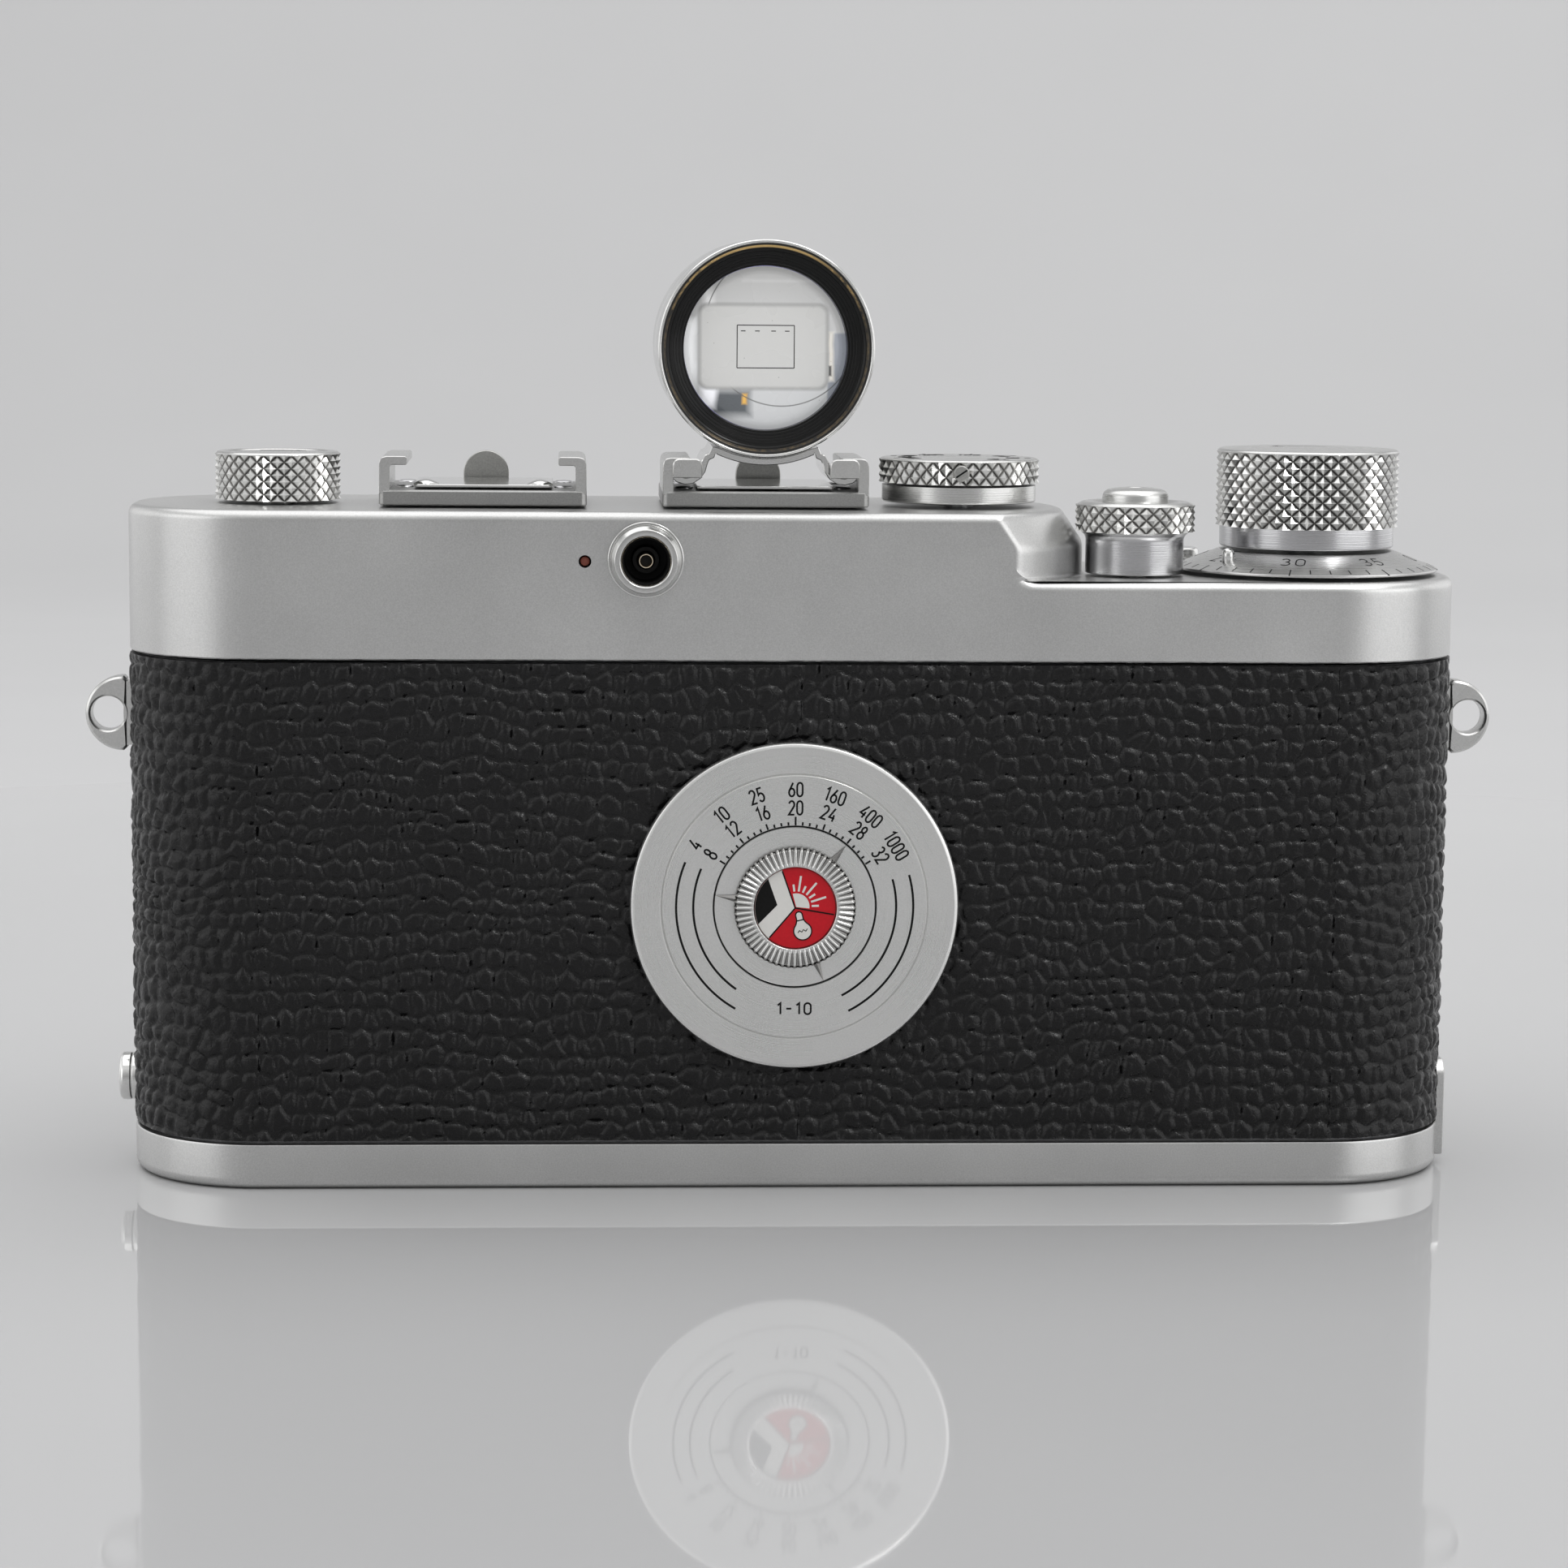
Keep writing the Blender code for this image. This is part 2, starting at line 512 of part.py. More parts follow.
def build_rewind():
    turned("rewind_sleeve", "z", REWIND, [(2.3, 55.2), (3.5, 55.2), (3.5, 60.4), (2.3, 60.4)],
           "brass", 16, (*REWIND, 60))
    knob = turned("rewind_knob", "z", REWIND, [
        (0, 72.1), (5.9, 72.1), (6.25, 71.7), (6.25, 67.4), (6.0, 67.25), (1.95, 67.25), (1.95, 51.4),
        (0, 51.4)], "satin", 24, (*REWIND, 67.2))
    combine(knob, [box(REWIND[0] - 0.6, REWIND[0] + 0.6, -3, 3, 51, 53.2)])
    turned("film_cassette", "z", REWIND, [
        (5.2, 5.0), (12.3, 5.0), (12.3, 48.0), (5.2, 48.0), (5.2, 47.2), (11.7, 47.2), (11.7, 5.8),
        (5.2, 5.8)], "black", 24)
    turned("cassette_spool", "z", REWIND, [
        (0, 4.6), (4.9, 4.6), (4.9, 6.6), (11.2, 6.6), (11.2, 7.4), (4.9, 7.4), (4.9, 45.6),
        (11.2, 45.6), (11.2, 46.4), (4.9, 46.4), (4.9, 50.5), (0, 50.5)], "black", 18, (*REWIND, 6))


def build_dials():
    centre = (MEMO[0], -16, MEMO[1])
    turned("memo_base", "y", MEMO, [
        (0, -15.0), (15.9, -15.0), (16.15, -15.3), (16.15, -15.9), (15.9, -16.15), (13.05, -16.15),
        (12.95, -16.35), (0, -16.35)], "satin", 36)
    turned("memo_dial", "y", MEMO, [
        (4.2, -16.6), (6.0, -16.6), (6.0, -17.0), (5.6, -17.3), (4.5, -17.3), (4.2, -17.1)], "satin",
        28, centre)
    turned("memo_insert", "y", MEMO, [
        (0, -16.6), (3.95, -16.6), (3.95, -16.95), (0, -16.95)], "red", 24, centre)
    turned("slow_dial", "y", SLOW, [
        (0, 14.1), (2.9, 14.1), (2.9, 15.0), (7.2, 15.0), (7.2, 17.4), (6.8, 17.8), (3.0, 17.8),
        (2.6, 18.4), (0, 18.4)], "satin", 24, (SLOW[0], 15, SLOW[1]))
    lever = turned("rewind_lever", "z", LEVER, [
        (0, 58.0), (1.0, 58.0), (1.0, 60.7), (2.0, 60.7), (2.0, 62.2), (0, 62.2)], "satin", 16,
        (*LEVER, 61))
    arm = [(LEVER[0] - 5.6, LEVER[1] - 0.7), (LEVER[0], LEVER[1] - 1.3), (LEVER[0], LEVER[1] + 1.3),
           (LEVER[0] - 5.6, LEVER[1] + 0.7)]
    combine(lever, [loft([at(arm, 61.0), at(arm, 61.9)])], "UNION")


# ---------------------------------------------------------------- lens
def build_lens():
    turned("lens_barrel", "y", LENS, [
        (15.6, 12.6), (18.6, 12.6), (19.2, 13.2), (19.2, 16.5), (22.4, 16.5), (22.4, 21.0), (17.0, 21.0),
        (17.0, 24.0), (15.6, 24.0)], "satin", 28)
    ring = turned("focus_ring", "y", LENS, [
        (17.3, 21.3), (23.4, 21.3), (23.4, 25.6), (22.9, 26.0), (17.3, 26.0)], "satin", 28,
        (LENS[0], 21.3, LENS[1]))
    lever = [(LENS[0] - 26.5, LENS[1] - 10.5), (LENS[0] - 23.0, LENS[1] - 12.5),
             (LENS[0] - 18.6, LENS[1] - 7.0), (LENS[0] - 21.0, LENS[1] - 4.0)]
    combine(ring, [extruded(lever, 22.0, 24.2)], "UNION")
    turned("focus_catch", "y", (LENS[0] - 24.2, LENS[1] - 10.6), [
        (0, 24.5), (1.9, 24.5), (1.9, 26.6), (1.5, 27.0), (0, 27.0)], "chrome", 16,
        (LENS[0], 21.3, LENS[1]))
    turned("lens_carrier", "y", LENS, [
        (15.5, 26.4), (21.8, 26.4), (21.8, 29.6), (18.8, 30.6), (15.5, 30.6)], "satin", 28,
        (LENS[0], 26.4, LENS[1]))
    home = (LENS[0], 31.0, LENS[1])
    turned("lens_tube", "y", LENS, [
        (14.4, 1.0), (15.2, 1.0), (15.2, 31.2), (12.6, 31.2), (12.6, 30.4), (14.4, 30.4)], "chrome",
        28, home)
    turned("lens_front_ring", "y", LENS, [
        (9.7, 31.5), (17.8, 31.5), (18.1, 31.8), (18.1, 35.4), (17.7, 35.9), (15.6, 35.9), (15.4, 35.2),
        (9.7, 35.2)], "satin", 28, home)
    iris = turned("aperture_ring", "y", LENS, [
        (10.4, 35.5), (15.1, 35.5), (14.7, 36.6), (12.2, 37.0), (10.4, 36.4)], "black", 24,
        (LENS[0], 35.5, LENS[1]))
    tab = [(LENS[0] + 13.0, LENS[1] - 0.8), (LENS[0] + 15.0, LENS[1] - 0.8),
           (LENS[0] + 15.0, LENS[1] + 0.8), (LENS[0] + 13.0, LENS[1] + 0.8)]
    combine(iris, [extruded(tab, 36.0, 37.6)], "UNION")
    turned("lens_front_glass", "y", LENS, [
        (0, 32.3), (9.4, 32.3), (9.4, 33.6), (6.5, 34.5), (3.2, 35.0), (0, 35.2)], "glass", 24, home)
    turned("lens_rear_glass", "y", LENS, [
        (0, 3.6), (5.0, 3.9), (9.0, 4.8), (14.1, 4.8), (14.1, 7.0), (0, 7.0)], "glass", 24, home)


for old in list(bpy.data.objects):
    bpy.data.objects.remove(old, do_unlink=True)
build_base()
build_body()
build_cover()
build_shoe("left", SHOE_LEFT_X)
build_shoe("right", SHOE_RIGHT_X)
build_finder()
build_wind()
build_release()
build_speed()
build_rewind()
build_dials()
build_lens()
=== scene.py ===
import math

import bmesh
import bpy
import numpy as np
from mathutils import Matrix, Vector


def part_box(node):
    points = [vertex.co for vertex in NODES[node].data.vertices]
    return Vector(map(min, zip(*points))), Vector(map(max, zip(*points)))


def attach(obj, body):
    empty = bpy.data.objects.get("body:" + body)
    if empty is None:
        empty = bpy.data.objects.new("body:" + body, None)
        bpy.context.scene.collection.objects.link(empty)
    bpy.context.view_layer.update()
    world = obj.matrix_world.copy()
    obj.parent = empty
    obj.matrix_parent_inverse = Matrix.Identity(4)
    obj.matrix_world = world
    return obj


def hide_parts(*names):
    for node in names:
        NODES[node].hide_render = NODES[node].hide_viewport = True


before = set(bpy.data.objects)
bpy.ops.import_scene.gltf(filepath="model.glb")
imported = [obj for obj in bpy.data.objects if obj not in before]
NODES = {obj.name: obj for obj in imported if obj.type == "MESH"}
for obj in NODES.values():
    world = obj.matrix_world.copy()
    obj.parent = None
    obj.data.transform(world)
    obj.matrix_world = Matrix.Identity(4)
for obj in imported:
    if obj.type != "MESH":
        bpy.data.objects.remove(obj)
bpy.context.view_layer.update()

MM = 0.001


# ---------------------------------------------------------------- places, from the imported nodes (mm)
def low(node):
    return [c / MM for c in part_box(node)[0]]


def high(node):
    return [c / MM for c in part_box(node)[1]]


def mid(node, a, b):
    lo, hi = low(node), high(node)
    return ((lo[a] + hi[a]) / 2, (lo[b] + hi[b]) / 2)


WIND, RELEASE, SPEED = mid("wind_knob", 0, 1), mid("release_button", 0, 1), mid("speed_collar", 0, 1)
REWIND, KEY, BUSH = mid("rewind_knob", 0, 1), mid("lock_key", 0, 1), mid("tripod_bush", 0, 1)
LENS, MEMO, SYNC = mid("lens_barrel", 0, 2), mid("memo_base", 0, 2), mid("sync_socket", 0, 2)
INDEX, SLOW, FINDER = mid("index_screw", 0, 2), mid("slow_dial", 0, 2), mid("finder_barrel", 0, 2)
STUD, HOOK = mid("side_stud", 1, 2), mid("hook_stud", 1, 2)
HUB = 2.0                          # radius of the rewind lever's hub, which is at the lever's corner
LEVER = (high("rewind_lever")[0] - HUB, high("rewind_lever")[1] - HUB)
CATCH = mid("focus_catch", 0, 2)
LUG_Z = mid("strap_lug_left", 1, 2)[1]
HALF, DEEP, HIGH_DECK = high("top_cover")
COVER_LOW = low("top_cover")[2]
LOW_DECK, CORNER = 60.4, 13.4      # height of the low deck, and the cover's corner radius


# ---------------------------------------------------------------- node materials
# noise scales are in turns per metre, and depths of relief in metres
def blank(name):
    mat = bpy.data.materials.new(name)
    mat.use_nodes = True
    return mat, mat.node_tree, mat.node_tree.nodes["Principled BSDF"]


def node(nt, kind, settings=(), **inputs):
    n = nt.nodes.new("ShaderNode" + kind)
    for key, value in dict(settings).items():
        setattr(n, key, value)
    for key, value in inputs.items():
        socket = n.inputs[int(key[1:]) if key[0] == "i" and key[1:].isdigit() else key]
        if isinstance(value, bpy.types.NodeSocket):
            nt.links.new(value, socket)
        else:
            socket.default_value = value
    return n


def math_node(nt, op, a, b=0.0):
    return node(nt, "Math", {"operation": op}, i0=a, i1=b).outputs[0]


def plus(nt, a, b):
    return math_node(nt, "ADD", a, b)


def minus(nt, a, b):
    return math_node(nt, "SUBTRACT", a, b)


def times(nt, a, b):
    return math_node(nt, "MULTIPLY", a, b)


def larger(nt, a, b):
    return math_node(nt, "MAXIMUM", a, b)


def magnitude(nt, a):
    return math_node(nt, "ABSOLUTE", a)


def ranged(nt, value, a, b, c, d):
    return node(nt, "MapRange", {}, i0=value, i1=a, i2=b, i3=c, i4=d).outputs[0]


def mixed(nt, factor, a, b):
    return node(nt, "Mix", {"data_type": "RGBA"}, i0=factor, i6=a, i7=b).outputs[2]


def tinted(nt, factor, a, b):
    return mixed(nt, factor, (*a, 1), (*b, 1))


def blotch(nt, coords, scale, detail=2.0, rough=0.5):
    return node(nt, "TexNoise", {}, Vector=coords, Scale=scale, Detail=detail, Roughness=rough).outputs[0]


def place(nt):
    """The shaded point in the shared frame, whole and as three coordinates."""
    coords = node(nt, "TexCoord").outputs["Object"]
    return coords, node(nt, "SeparateXYZ", {}, Vector=coords).outputs


def weighted(nt, a, b, share):
    """A mix of two values, of which b has the given share."""
    return plus(nt, times(nt, a, 1 - share), times(nt, b, share))


def distance(nt, u, v):
    squares = [times(nt, side, side) for side in (u, v)]
    return math_node(nt, "SQRT", plus(nt, *squares))


def from_axis(nt, xyz, sides, centre):
    """Distance from an axis that passes through a centre (mm)."""
    return distance(nt, *[minus(nt, xyz[k], c * MM) for k, c in zip(sides, centre)])


def dress(bsdf, **sockets):
    """Set or link a shader's sockets; an underscore stands for a space in a socket's name."""
    for name, value in sockets.items():
        socket = bsdf.inputs[name.replace("_", " ")]
        if isinstance(value, bpy.types.NodeSocket):
            bsdf.id_data.links.new(value, socket)
        else:
            socket.default_value = value


def relieve(nt, bsdf, height, strength, depth):
    """Fine relief, too small for the mesh, of a depth in metres."""
    rise = node(nt, "Bump", {}, Strength=strength, Distance=depth, Height=height)
    dress(bsdf, Normal=rise.outputs[0])


def overlaid(mat, mask, color):
    """Lay a second colour over a material's own where the mask is high."""
    bsdf = mat.node_tree.nodes["Principled BSDF"]
    own = bsdf.inputs["Base Color"].links[0].from_socket
    dress(bsdf, Base_Color=mixed(mat.node_tree, mask, own, (*color, 1)))
    return mat


def lathe_marks(nt, coords, axis, centre, scale):
    """Fine turned rings about an axis: one value for every radius and height."""
    xyz = node(nt, "SeparateXYZ", {}, Vector=coords).outputs
    along = "xyz".index(axis)
    radius = from_axis(nt, xyz, [k for k in range(3) if k != along], centre)
    spot = times(nt, plus(nt, radius, xyz[along]), scale)
    return node(nt, "TexNoise", {"noise_dimensions": "1D"}, W=spot, Scale=1.0, Detail=2.0).outputs[0]


def metal(name, color, rough, grain=0.07, bump=0.15, lathe=None, rings=0.0, aniso=0.0, worn=0.04):
    """Plated or bare metal: fine speckle in colour, gloss and relief, with optional turned rings."""
    mat, nt, bsdf = blank(name)
    coords = node(nt, "TexCoord").outputs["Object"]
    speckle, cloud, rings_scale = 6500.0, 70.0, 9000.0
    fine = blotch(nt, coords, speckle, 2.0, 0.6)
    broad = blotch(nt, coords, cloud, 3.0, 0.6)
    spread = weighted(nt, fine, broad, 0.25)
    dark, light = [c * (1 - grain) for c in color], [min(c * (1 + grain), 1.0) for c in color]
    gloss = ranged(nt, broad, 0.3, 0.7, rough - worn, rough + worn)
    relief = fine
    if lathe:
        marks = lathe_marks(nt, coords, *lathe, rings_scale)
        relief = weighted(nt, fine, marks, rings)
        gloss = plus(nt, gloss, ranged(nt, marks, 0.3, 0.7, -0.04, 0.05))
    dress(bsdf, Base_Color=tinted(nt, ranged(nt, spread, 0.3, 0.7, 0.0, 1.0), dark, light), Metallic=1.0,
          Roughness=gloss)
    if aniso:
        tangent = node(nt, "Tangent", {"direction_type": "RADIAL", "axis": lathe[0].upper()})
        dress(bsdf, Anisotropic=aniso, Tangent=tangent.outputs[0])
    relieve(nt, bsdf, relief, bump, 0.00003)
    return mat


def paint(name, color, rough, speck=0.25, bump=0.1, scale=3000.0, specular=0.5, coat=0.0):
    mat, nt, bsdf = blank(name)
    coords = node(nt, "TexCoord").outputs["Object"]
    fine = blotch(nt, coords, scale, 3.0, 0.6)
    broad = blotch(nt, coords, scale / 40, 2.0)
    dark, light = [c * (1 - speck) for c in color], [min(c * (1 + speck) + 0.002, 1.0) for c in color]
    dress(bsdf, Base_Color=tinted(nt, fine, dark, light), Specular_IOR_Level=specular, Coat_Weight=coat,
          Roughness=ranged(nt, broad, 0.3, 0.7, rough - 0.05, rough + 0.06), Coat_Roughness=0.06)
    relieve(nt, bsdf, fine, bump, 0.00004)
    return mat


def leather_material():
    mat, nt, bsdf = blank("black_leather")
    coords = node(nt, "TexCoord").outputs["Object"]
    pores = blotch(nt, coords, 5200.0, 3.0, 0.65)
    creases = node(nt, "TexVoronoi", {"feature": "DISTANCE_TO_EDGE"}, Vector=coords, Scale=1700.0).outputs[0]
    broad = blotch(nt, coords, 180.0, 2.0)
    dress(bsdf, Base_Color=tinted(nt, broad, (0.0030, 0.0029, 0.0032), (0.0062, 0.0060, 0.0065)),
          Roughness=ranged(nt, pores, 0.3, 0.7, 0.25, 0.37), Specular_IOR_Level=0.30)
    relief = plus(nt, times(nt, pores, 0.5), ranged(nt, creases, 0.0, 0.15, 0.0, 0.5))
    relieve(nt, bsdf, relief, 0.5, 0.00006)
    return mat


def glass_material(name, tint, rough=0.03):
    mat, nt, bsdf = blank(name)
    dust = blotch(nt, node(nt, "TexCoord").outputs["Object"], 900.0, 4.0, 0.7)
    dress(bsdf, Base_Color=tinted(nt, dust, [c * 0.96 for c in tint], tint), Transmission_Weight=0.9,
          Roughness=ranged(nt, dust, 0.4, 0.8, rough, rough + 0.04), Coat_Weight=0.6, Coat_Roughness=0.02,
          Coat_Tint=(0.72, 0.66, 1.0, 1))
    return mat


SMALL = (0.62, 0.62, 0.61)
CHROME = (0.64, 0.64, 0.63)
SATIN = (0.585, 0.585, 0.58)
BRIGHT = (0.72, 0.72, 0.71)
STEEL = (0.52, 0.52, 0.53)
MAT = {
    "cover": metal("satin_chrome", SATIN, 0.33, 0.11, 0.24),
    "satin": metal("satin_chrome_small", SMALL, 0.27, 0.08, 0.16),
    "bright": metal("bright_chrome", BRIGHT, 0.10, 0.04, 0.05),
    "dark_steel": metal("dark_steel", (0.40, 0.40, 0.385), 0.36, 0.16, 0.2),
    "milled": metal("milled_chrome", (0.34, 0.34, 0.335), 0.38, 0.16, 0.3),
    "steel": metal("plain_steel", STEEL, 0.28, 0.08, 0.12),
    "brass": metal("brass", (0.72, 0.52, 0.22), 0.26, 0.08, 0.12),
    "brass_pale": metal("pale_brass", (0.80, 0.70, 0.55), 0.22, 0.06, 0.10),
    "alloy": metal("cast_alloy", (0.30, 0.30, 0.31), 0.52, 0.14, 0.6),
    "black": paint("black_lacquer", (0.004, 0.004, 0.004), 0.26, specular=0.2, coat=0.05),
    "ink": paint("black_engraving", (0.006, 0.006, 0.006), 0.6, specular=0.12),
    "matt_black": paint("matt_black", (0.007, 0.007, 0.007), 0.6, specular=0.2),
    "white": paint("white_enamel", (0.80, 0.79, 0.76), 0.35, speck=0.04, coat=0.4),
    "red": paint("red_enamel", (0.60, 0.006, 0.016), 0.32, speck=0.12, specular=0.2, coat=0.2),
    "rust": paint("red_lacquer", (0.20, 0.045, 0.025), 0.45),
    "cloth": paint("rubber_cloth", (0.014, 0.014, 0.014), 0.85, bump=0.8, scale=5200.0),
    "leather": leather_material(),
    "glass": glass_material("lens_glass", (0.80, 0.84, 0.95)),
}


def knurl_metal(name, centre, r_out, depth):
    """Chrome with painted shade on the floors of the knurl's grooves, told by the distance from the knob's
    axis.
    """
    mat = metal(name, CHROME, 0.17, 0.06, 0.10)
    nt = mat.node_tree
    radius = from_axis(nt, place(nt)[1], (0, 1), centre)
    floor, clear = (r_out - 0.93 * depth) * MM, (r_out - 0.66 * depth) * MM
    # painted shade: a near-black colour laid over the groove floors, strongest at the bottom of each groove
    return overlaid(mat, ranged(nt, radius, floor, clear, 0.85, 0.0), (0.06, 0.055, 0.05))


def fluted_metal():
    """Chrome with painted shade down in the flutes of the film reminder's ring."""
    mat = metal("fluted_chrome_painted_shade", SMALL, 0.24, 0.06, 0.10)
    nt = mat.node_tree
    low_y, high_y = -17.24 * MM, -17.1 * MM
    # painted shade: a dark grey laid over the lowest part of the flutes
    return overlaid(mat, ranged(nt, place(nt)[1][1], low_y, high_y, 0.0, 0.8), (0.16, 0.155, 0.15))


def lathe(name, base, axis, centre, rough=None, rings=0.6, aniso=0.35, bump=0.2):
    """Metal turned about an axis, in one of four finishes."""
    color, plain = {"satin": (SMALL, 0.26), "bright": (BRIGHT, 0.14), "cover": (SATIN, 0.29),
                    "steel": (STEEL, 0.24)}[base]
    return metal(name, color, rough or plain, 0.06, bump, (axis, centre), rings, aniso)


# ---------------------------------------------------------------- mesh code: sizes in mm
# a profile is a closed list of (radius, height along the axis), and an outline a closed list of (u, v)
def new_mesh(name, verts, faces):
    """A mesh from places in mm, with its faces turned outwards."""
    mesh = bpy.data.meshes.new(name)
    mesh.from_pydata(np.asarray(verts, float) * MM, [], faces)
    bm = bmesh.new()
    bm.from_mesh(mesh)
    bmesh.ops.recalc_face_normals(bm, faces=bm.faces)
    bm.to_mesh(mesh)
    bm.free()
    return mesh


def new_object(name, data):
    obj = bpy.data.objects.new(name, data)
    bpy.context.scene.collection.objects.link(obj)
    return obj


SHARP = 32.0                       # an edge that turns more than this, in degrees, is shaded as sharp
TINY = 1e-6                        # lengths below this count as none


def level_shading(obj):
    mod = obj.modifiers.new("level", "WEIGHTED_NORMAL")
    mod.keep_sharp = True


def piece(name, shape, mat, body, node_name=None, sharp=SHARP, level=True):
    """A mesh piece in the shared frame from (verts mm, faces), riding on a body."""
    mesh = new_mesh(name, *shape)
    mesh.shade_smooth()
    mesh.set_sharp_from_angle(angle=math.radians(sharp))
    obj = new_object(name, mesh)
    mesh.materials.append(MAT[mat] if isinstance(mat, str) else mat)
    if level:
        level_shading(obj)
    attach(obj, body)
    if node_name:
        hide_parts(node_name)
    return obj


def join(*shapes):
    verts, faces, base = [], [], 0
    for v, f in shapes:
        verts += [tuple(p) for p in v]
        faces += [tuple(i + base for i in face) for face in f]
        base += len(v)
    return verts, faces


def loft(rings, closed=False):
    n = len(rings[0])
    verts = [p for ring in rings for p in ring]
    faces = []
    for k in range(len(rings) if closed else len(rings) - 1):
        a, b = k * n, ((k + 1) % len(rings)) * n
        faces += [(a + i, a + (i + 1) % n, b + (i + 1) % n, b + i) for i in range(n)]
    if not closed:
        faces += [tuple(range(n))[::-1], tuple((len(rings) - 1) * n + i for i in range(n))]
    return verts, faces


def at(outline, z):
    return [(x, y, z) for x, y in outline]


def quarter(count):
    """Sine and cosine along a quarter turn, with count steps."""
    turns = [math.radians(90.0 * k / count) for k in range(count + 1)]
    return [(math.sin(t), math.cos(t)) for t in turns]


def dome(r, base, bulge, steps):
    """Profile of a lens face, between its edge and its axis."""
    return [(r * sin, base + bulge * cos) for sin, cos in quarter(steps)[-2:0:-1]]


def rectangle(x0, y0, x1, y1):
    return [(x0, y0), (x1, y0), (x1, y1), (x0, y1)]


def rounded(shape, inset=0.0, steps=14):
    """A rectangle with round corners, from its half sizes and corner radius."""
    hw, hd, r = (s - inset for s in shape)
    pts = []
    for sx, sy, a0 in ((1, -1, -90), (1, 1, 0), (-1, 1, 90), (-1, -1, 180)):
        for k in range(steps + 1):
            a = math.radians(a0 + 90.0 * k / steps)
            pts.append((sx * (hw - r) + r * math.cos(a), sy * (hd - r) + r * math.sin(a)))
    return pts


def soft(profile, r=0.12, steps=2, closed=True):
    """Round the corners of a profile (closed is True), an outline (False) or an open path (None)."""
    out, n = [], len(profile)
    for k, p in enumerate(profile):
        a, b = profile[k - 1], profile[(k + 1) % n]
        on_axis = closed is True and p[0] <= TINY
        ends = closed is None and k in (0, n - 1)
        l1, l2 = math.dist(a, p), math.dist(b, p)
        if on_axis or ends or min(l1, l2) < TINY:
            out.append(p)
            continue
        d1 = ((a[0] - p[0]) / l1, (a[1] - p[1]) / l1)
        d2 = ((b[0] - p[0]) / l2, (b[1] - p[1]) / l2)
        nearly_straight = d1[0] * d2[0] + d1[1] * d2[1] < -0.985
        if nearly_straight:
            out.append(p)
            continue
        t = min(r, 0.4 * l1, 0.4 * l2)
        for s in range(steps + 1):
            u = s / steps
            w1, w2 = (1 - u) ** 2 * t, u * u * t
            out.append((p[0] + d1[0] * w1 + d2[0] * w2, p[1] + d1[1] * w1 + d2[1] * w2))
    return out


def revolved(axis, centre, profile, segs=96, relief=None):
    """Turn a closed (radius, height) profile; relief(theta, r, h) may change the radius."""
    theta = 2 * math.pi * np.arange(segs) / segs
    cos, sin = np.cos(theta), np.sin(theta)
    verts, start = [], []
    for r, h in profile:
        start.append((len(verts), r > TINY))
        if r > TINY:
            rr = relief(theta, r, h) if relief else np.full(segs, r)
            u, v, w = centre[0] + rr * cos, centre[1] + rr * sin, np.full(segs, h)
        else:
            u, v, w = [centre[0]], [centre[1]], [h]
        order = {"z": (u, v, w), "y": (u, w, v), "x": (w, u, v)}[axis]
        verts += list(zip(*order))
    faces = []
    for k in range(len(profile)):
        (a, ring_a), (b, ring_b) = start[k], start[(k + 1) % len(profile)]
        for i in range(segs if ring_a or ring_b else 0):
            j = (i + 1) % segs
            if ring_a and ring_b:
                faces.append((a + i, a + j, b + j, b + i))
            elif ring_a:
                faces.append((a + i, a + j, b))
            else:
                faces.append((a, b + j, b + i))
    return verts, faces


def turned(name, axis, centre, profile, mat, body, node_name=None, segs=96, r=0.12, relief=None):
    return piece(name, revolved(axis, centre, soft(profile, r), segs, relief), mat, body, node_name)


def prism(outline, axis, a, b, bevel=0.1):
    """Extrude an outline along an axis, with a small chamfer on both end edges."""
    n, small = len(outline), []
    for k, (x, y) in enumerate(outline):
        (x0, y0), (x1, y1) = outline[k - 1], outline[(k + 1) % n]
        d0, d1 = max(math.dist((x, y), (x0, y0)), 1e-9), max(math.dist((x, y), (x1, y1)), 1e-9)
        n0 = ((y - y0) / d0, -(x - x0) / d0)
        n1 = ((y1 - y) / d1, -(x1 - x) / d1)
        nx, ny = n0[0] + n1[0], n0[1] + n1[1]
        size = math.hypot(nx, ny) or 1.0
        small.append((x - nx / size * bevel, y - ny / size * bevel))
    area = sum(outline[k - 1][0] * outline[k][1] - outline[k][0] * outline[k - 1][1] for k in range(n))
    if area < 0:
        small = [(2 * x - sx, 2 * y - sy) for (x, y), (sx, sy) in zip(outline, small)]
    step = bevel if b > a else -bevel

    def ring(pts, h):
        return [{"z": (u, v, h), "y": (u, h, v), "x": (h, u, v)}[axis] for u, v in pts]
    return loft([ring(small, a), ring(outline, a + step), ring(outline, b - step), ring(small, b)])


def cut(obj, *shapes):
    """Cut shapes from a piece with exact booleans and keep the result as its mesh."""
    obj.modifiers.clear()
    for shape in shapes:
        tool = new_object("cutter", new_mesh("cutter", *shape))
        mod = obj.modifiers.new("cut", "BOOLEAN")
        mod.operation, mod.solver, mod.object = "DIFFERENCE", "EXACT", tool
        graph = bpy.context.evaluated_depsgraph_get()
        baked = bpy.data.meshes.new_from_object(obj.evaluated_get(graph))
        obj.modifiers.clear()
        obj.data = baked
        bpy.data.objects.remove(tool, do_unlink=True)
    obj.data.shade_smooth()
    obj.data.set_sharp_from_angle(angle=math.radians(SHARP))
    level_shading(obj)


def rod(axis, centre, r, h0, h1, segs=48):
    return revolved(axis, centre, [(0, h0), (r, h0), (r, h1), (0, h1)], segs)


# ---------------------------------------------------------------- figures and marks
def arc(cx, cy, rx, ry, a0, a1, n=10):
    return [(cx + rx * math.cos(math.radians(a0 + (a1 - a0) * k / n)),
             cy + ry * math.sin(math.radians(a0 + (a1 - a0) * k / n))) for k in range(n + 1)]


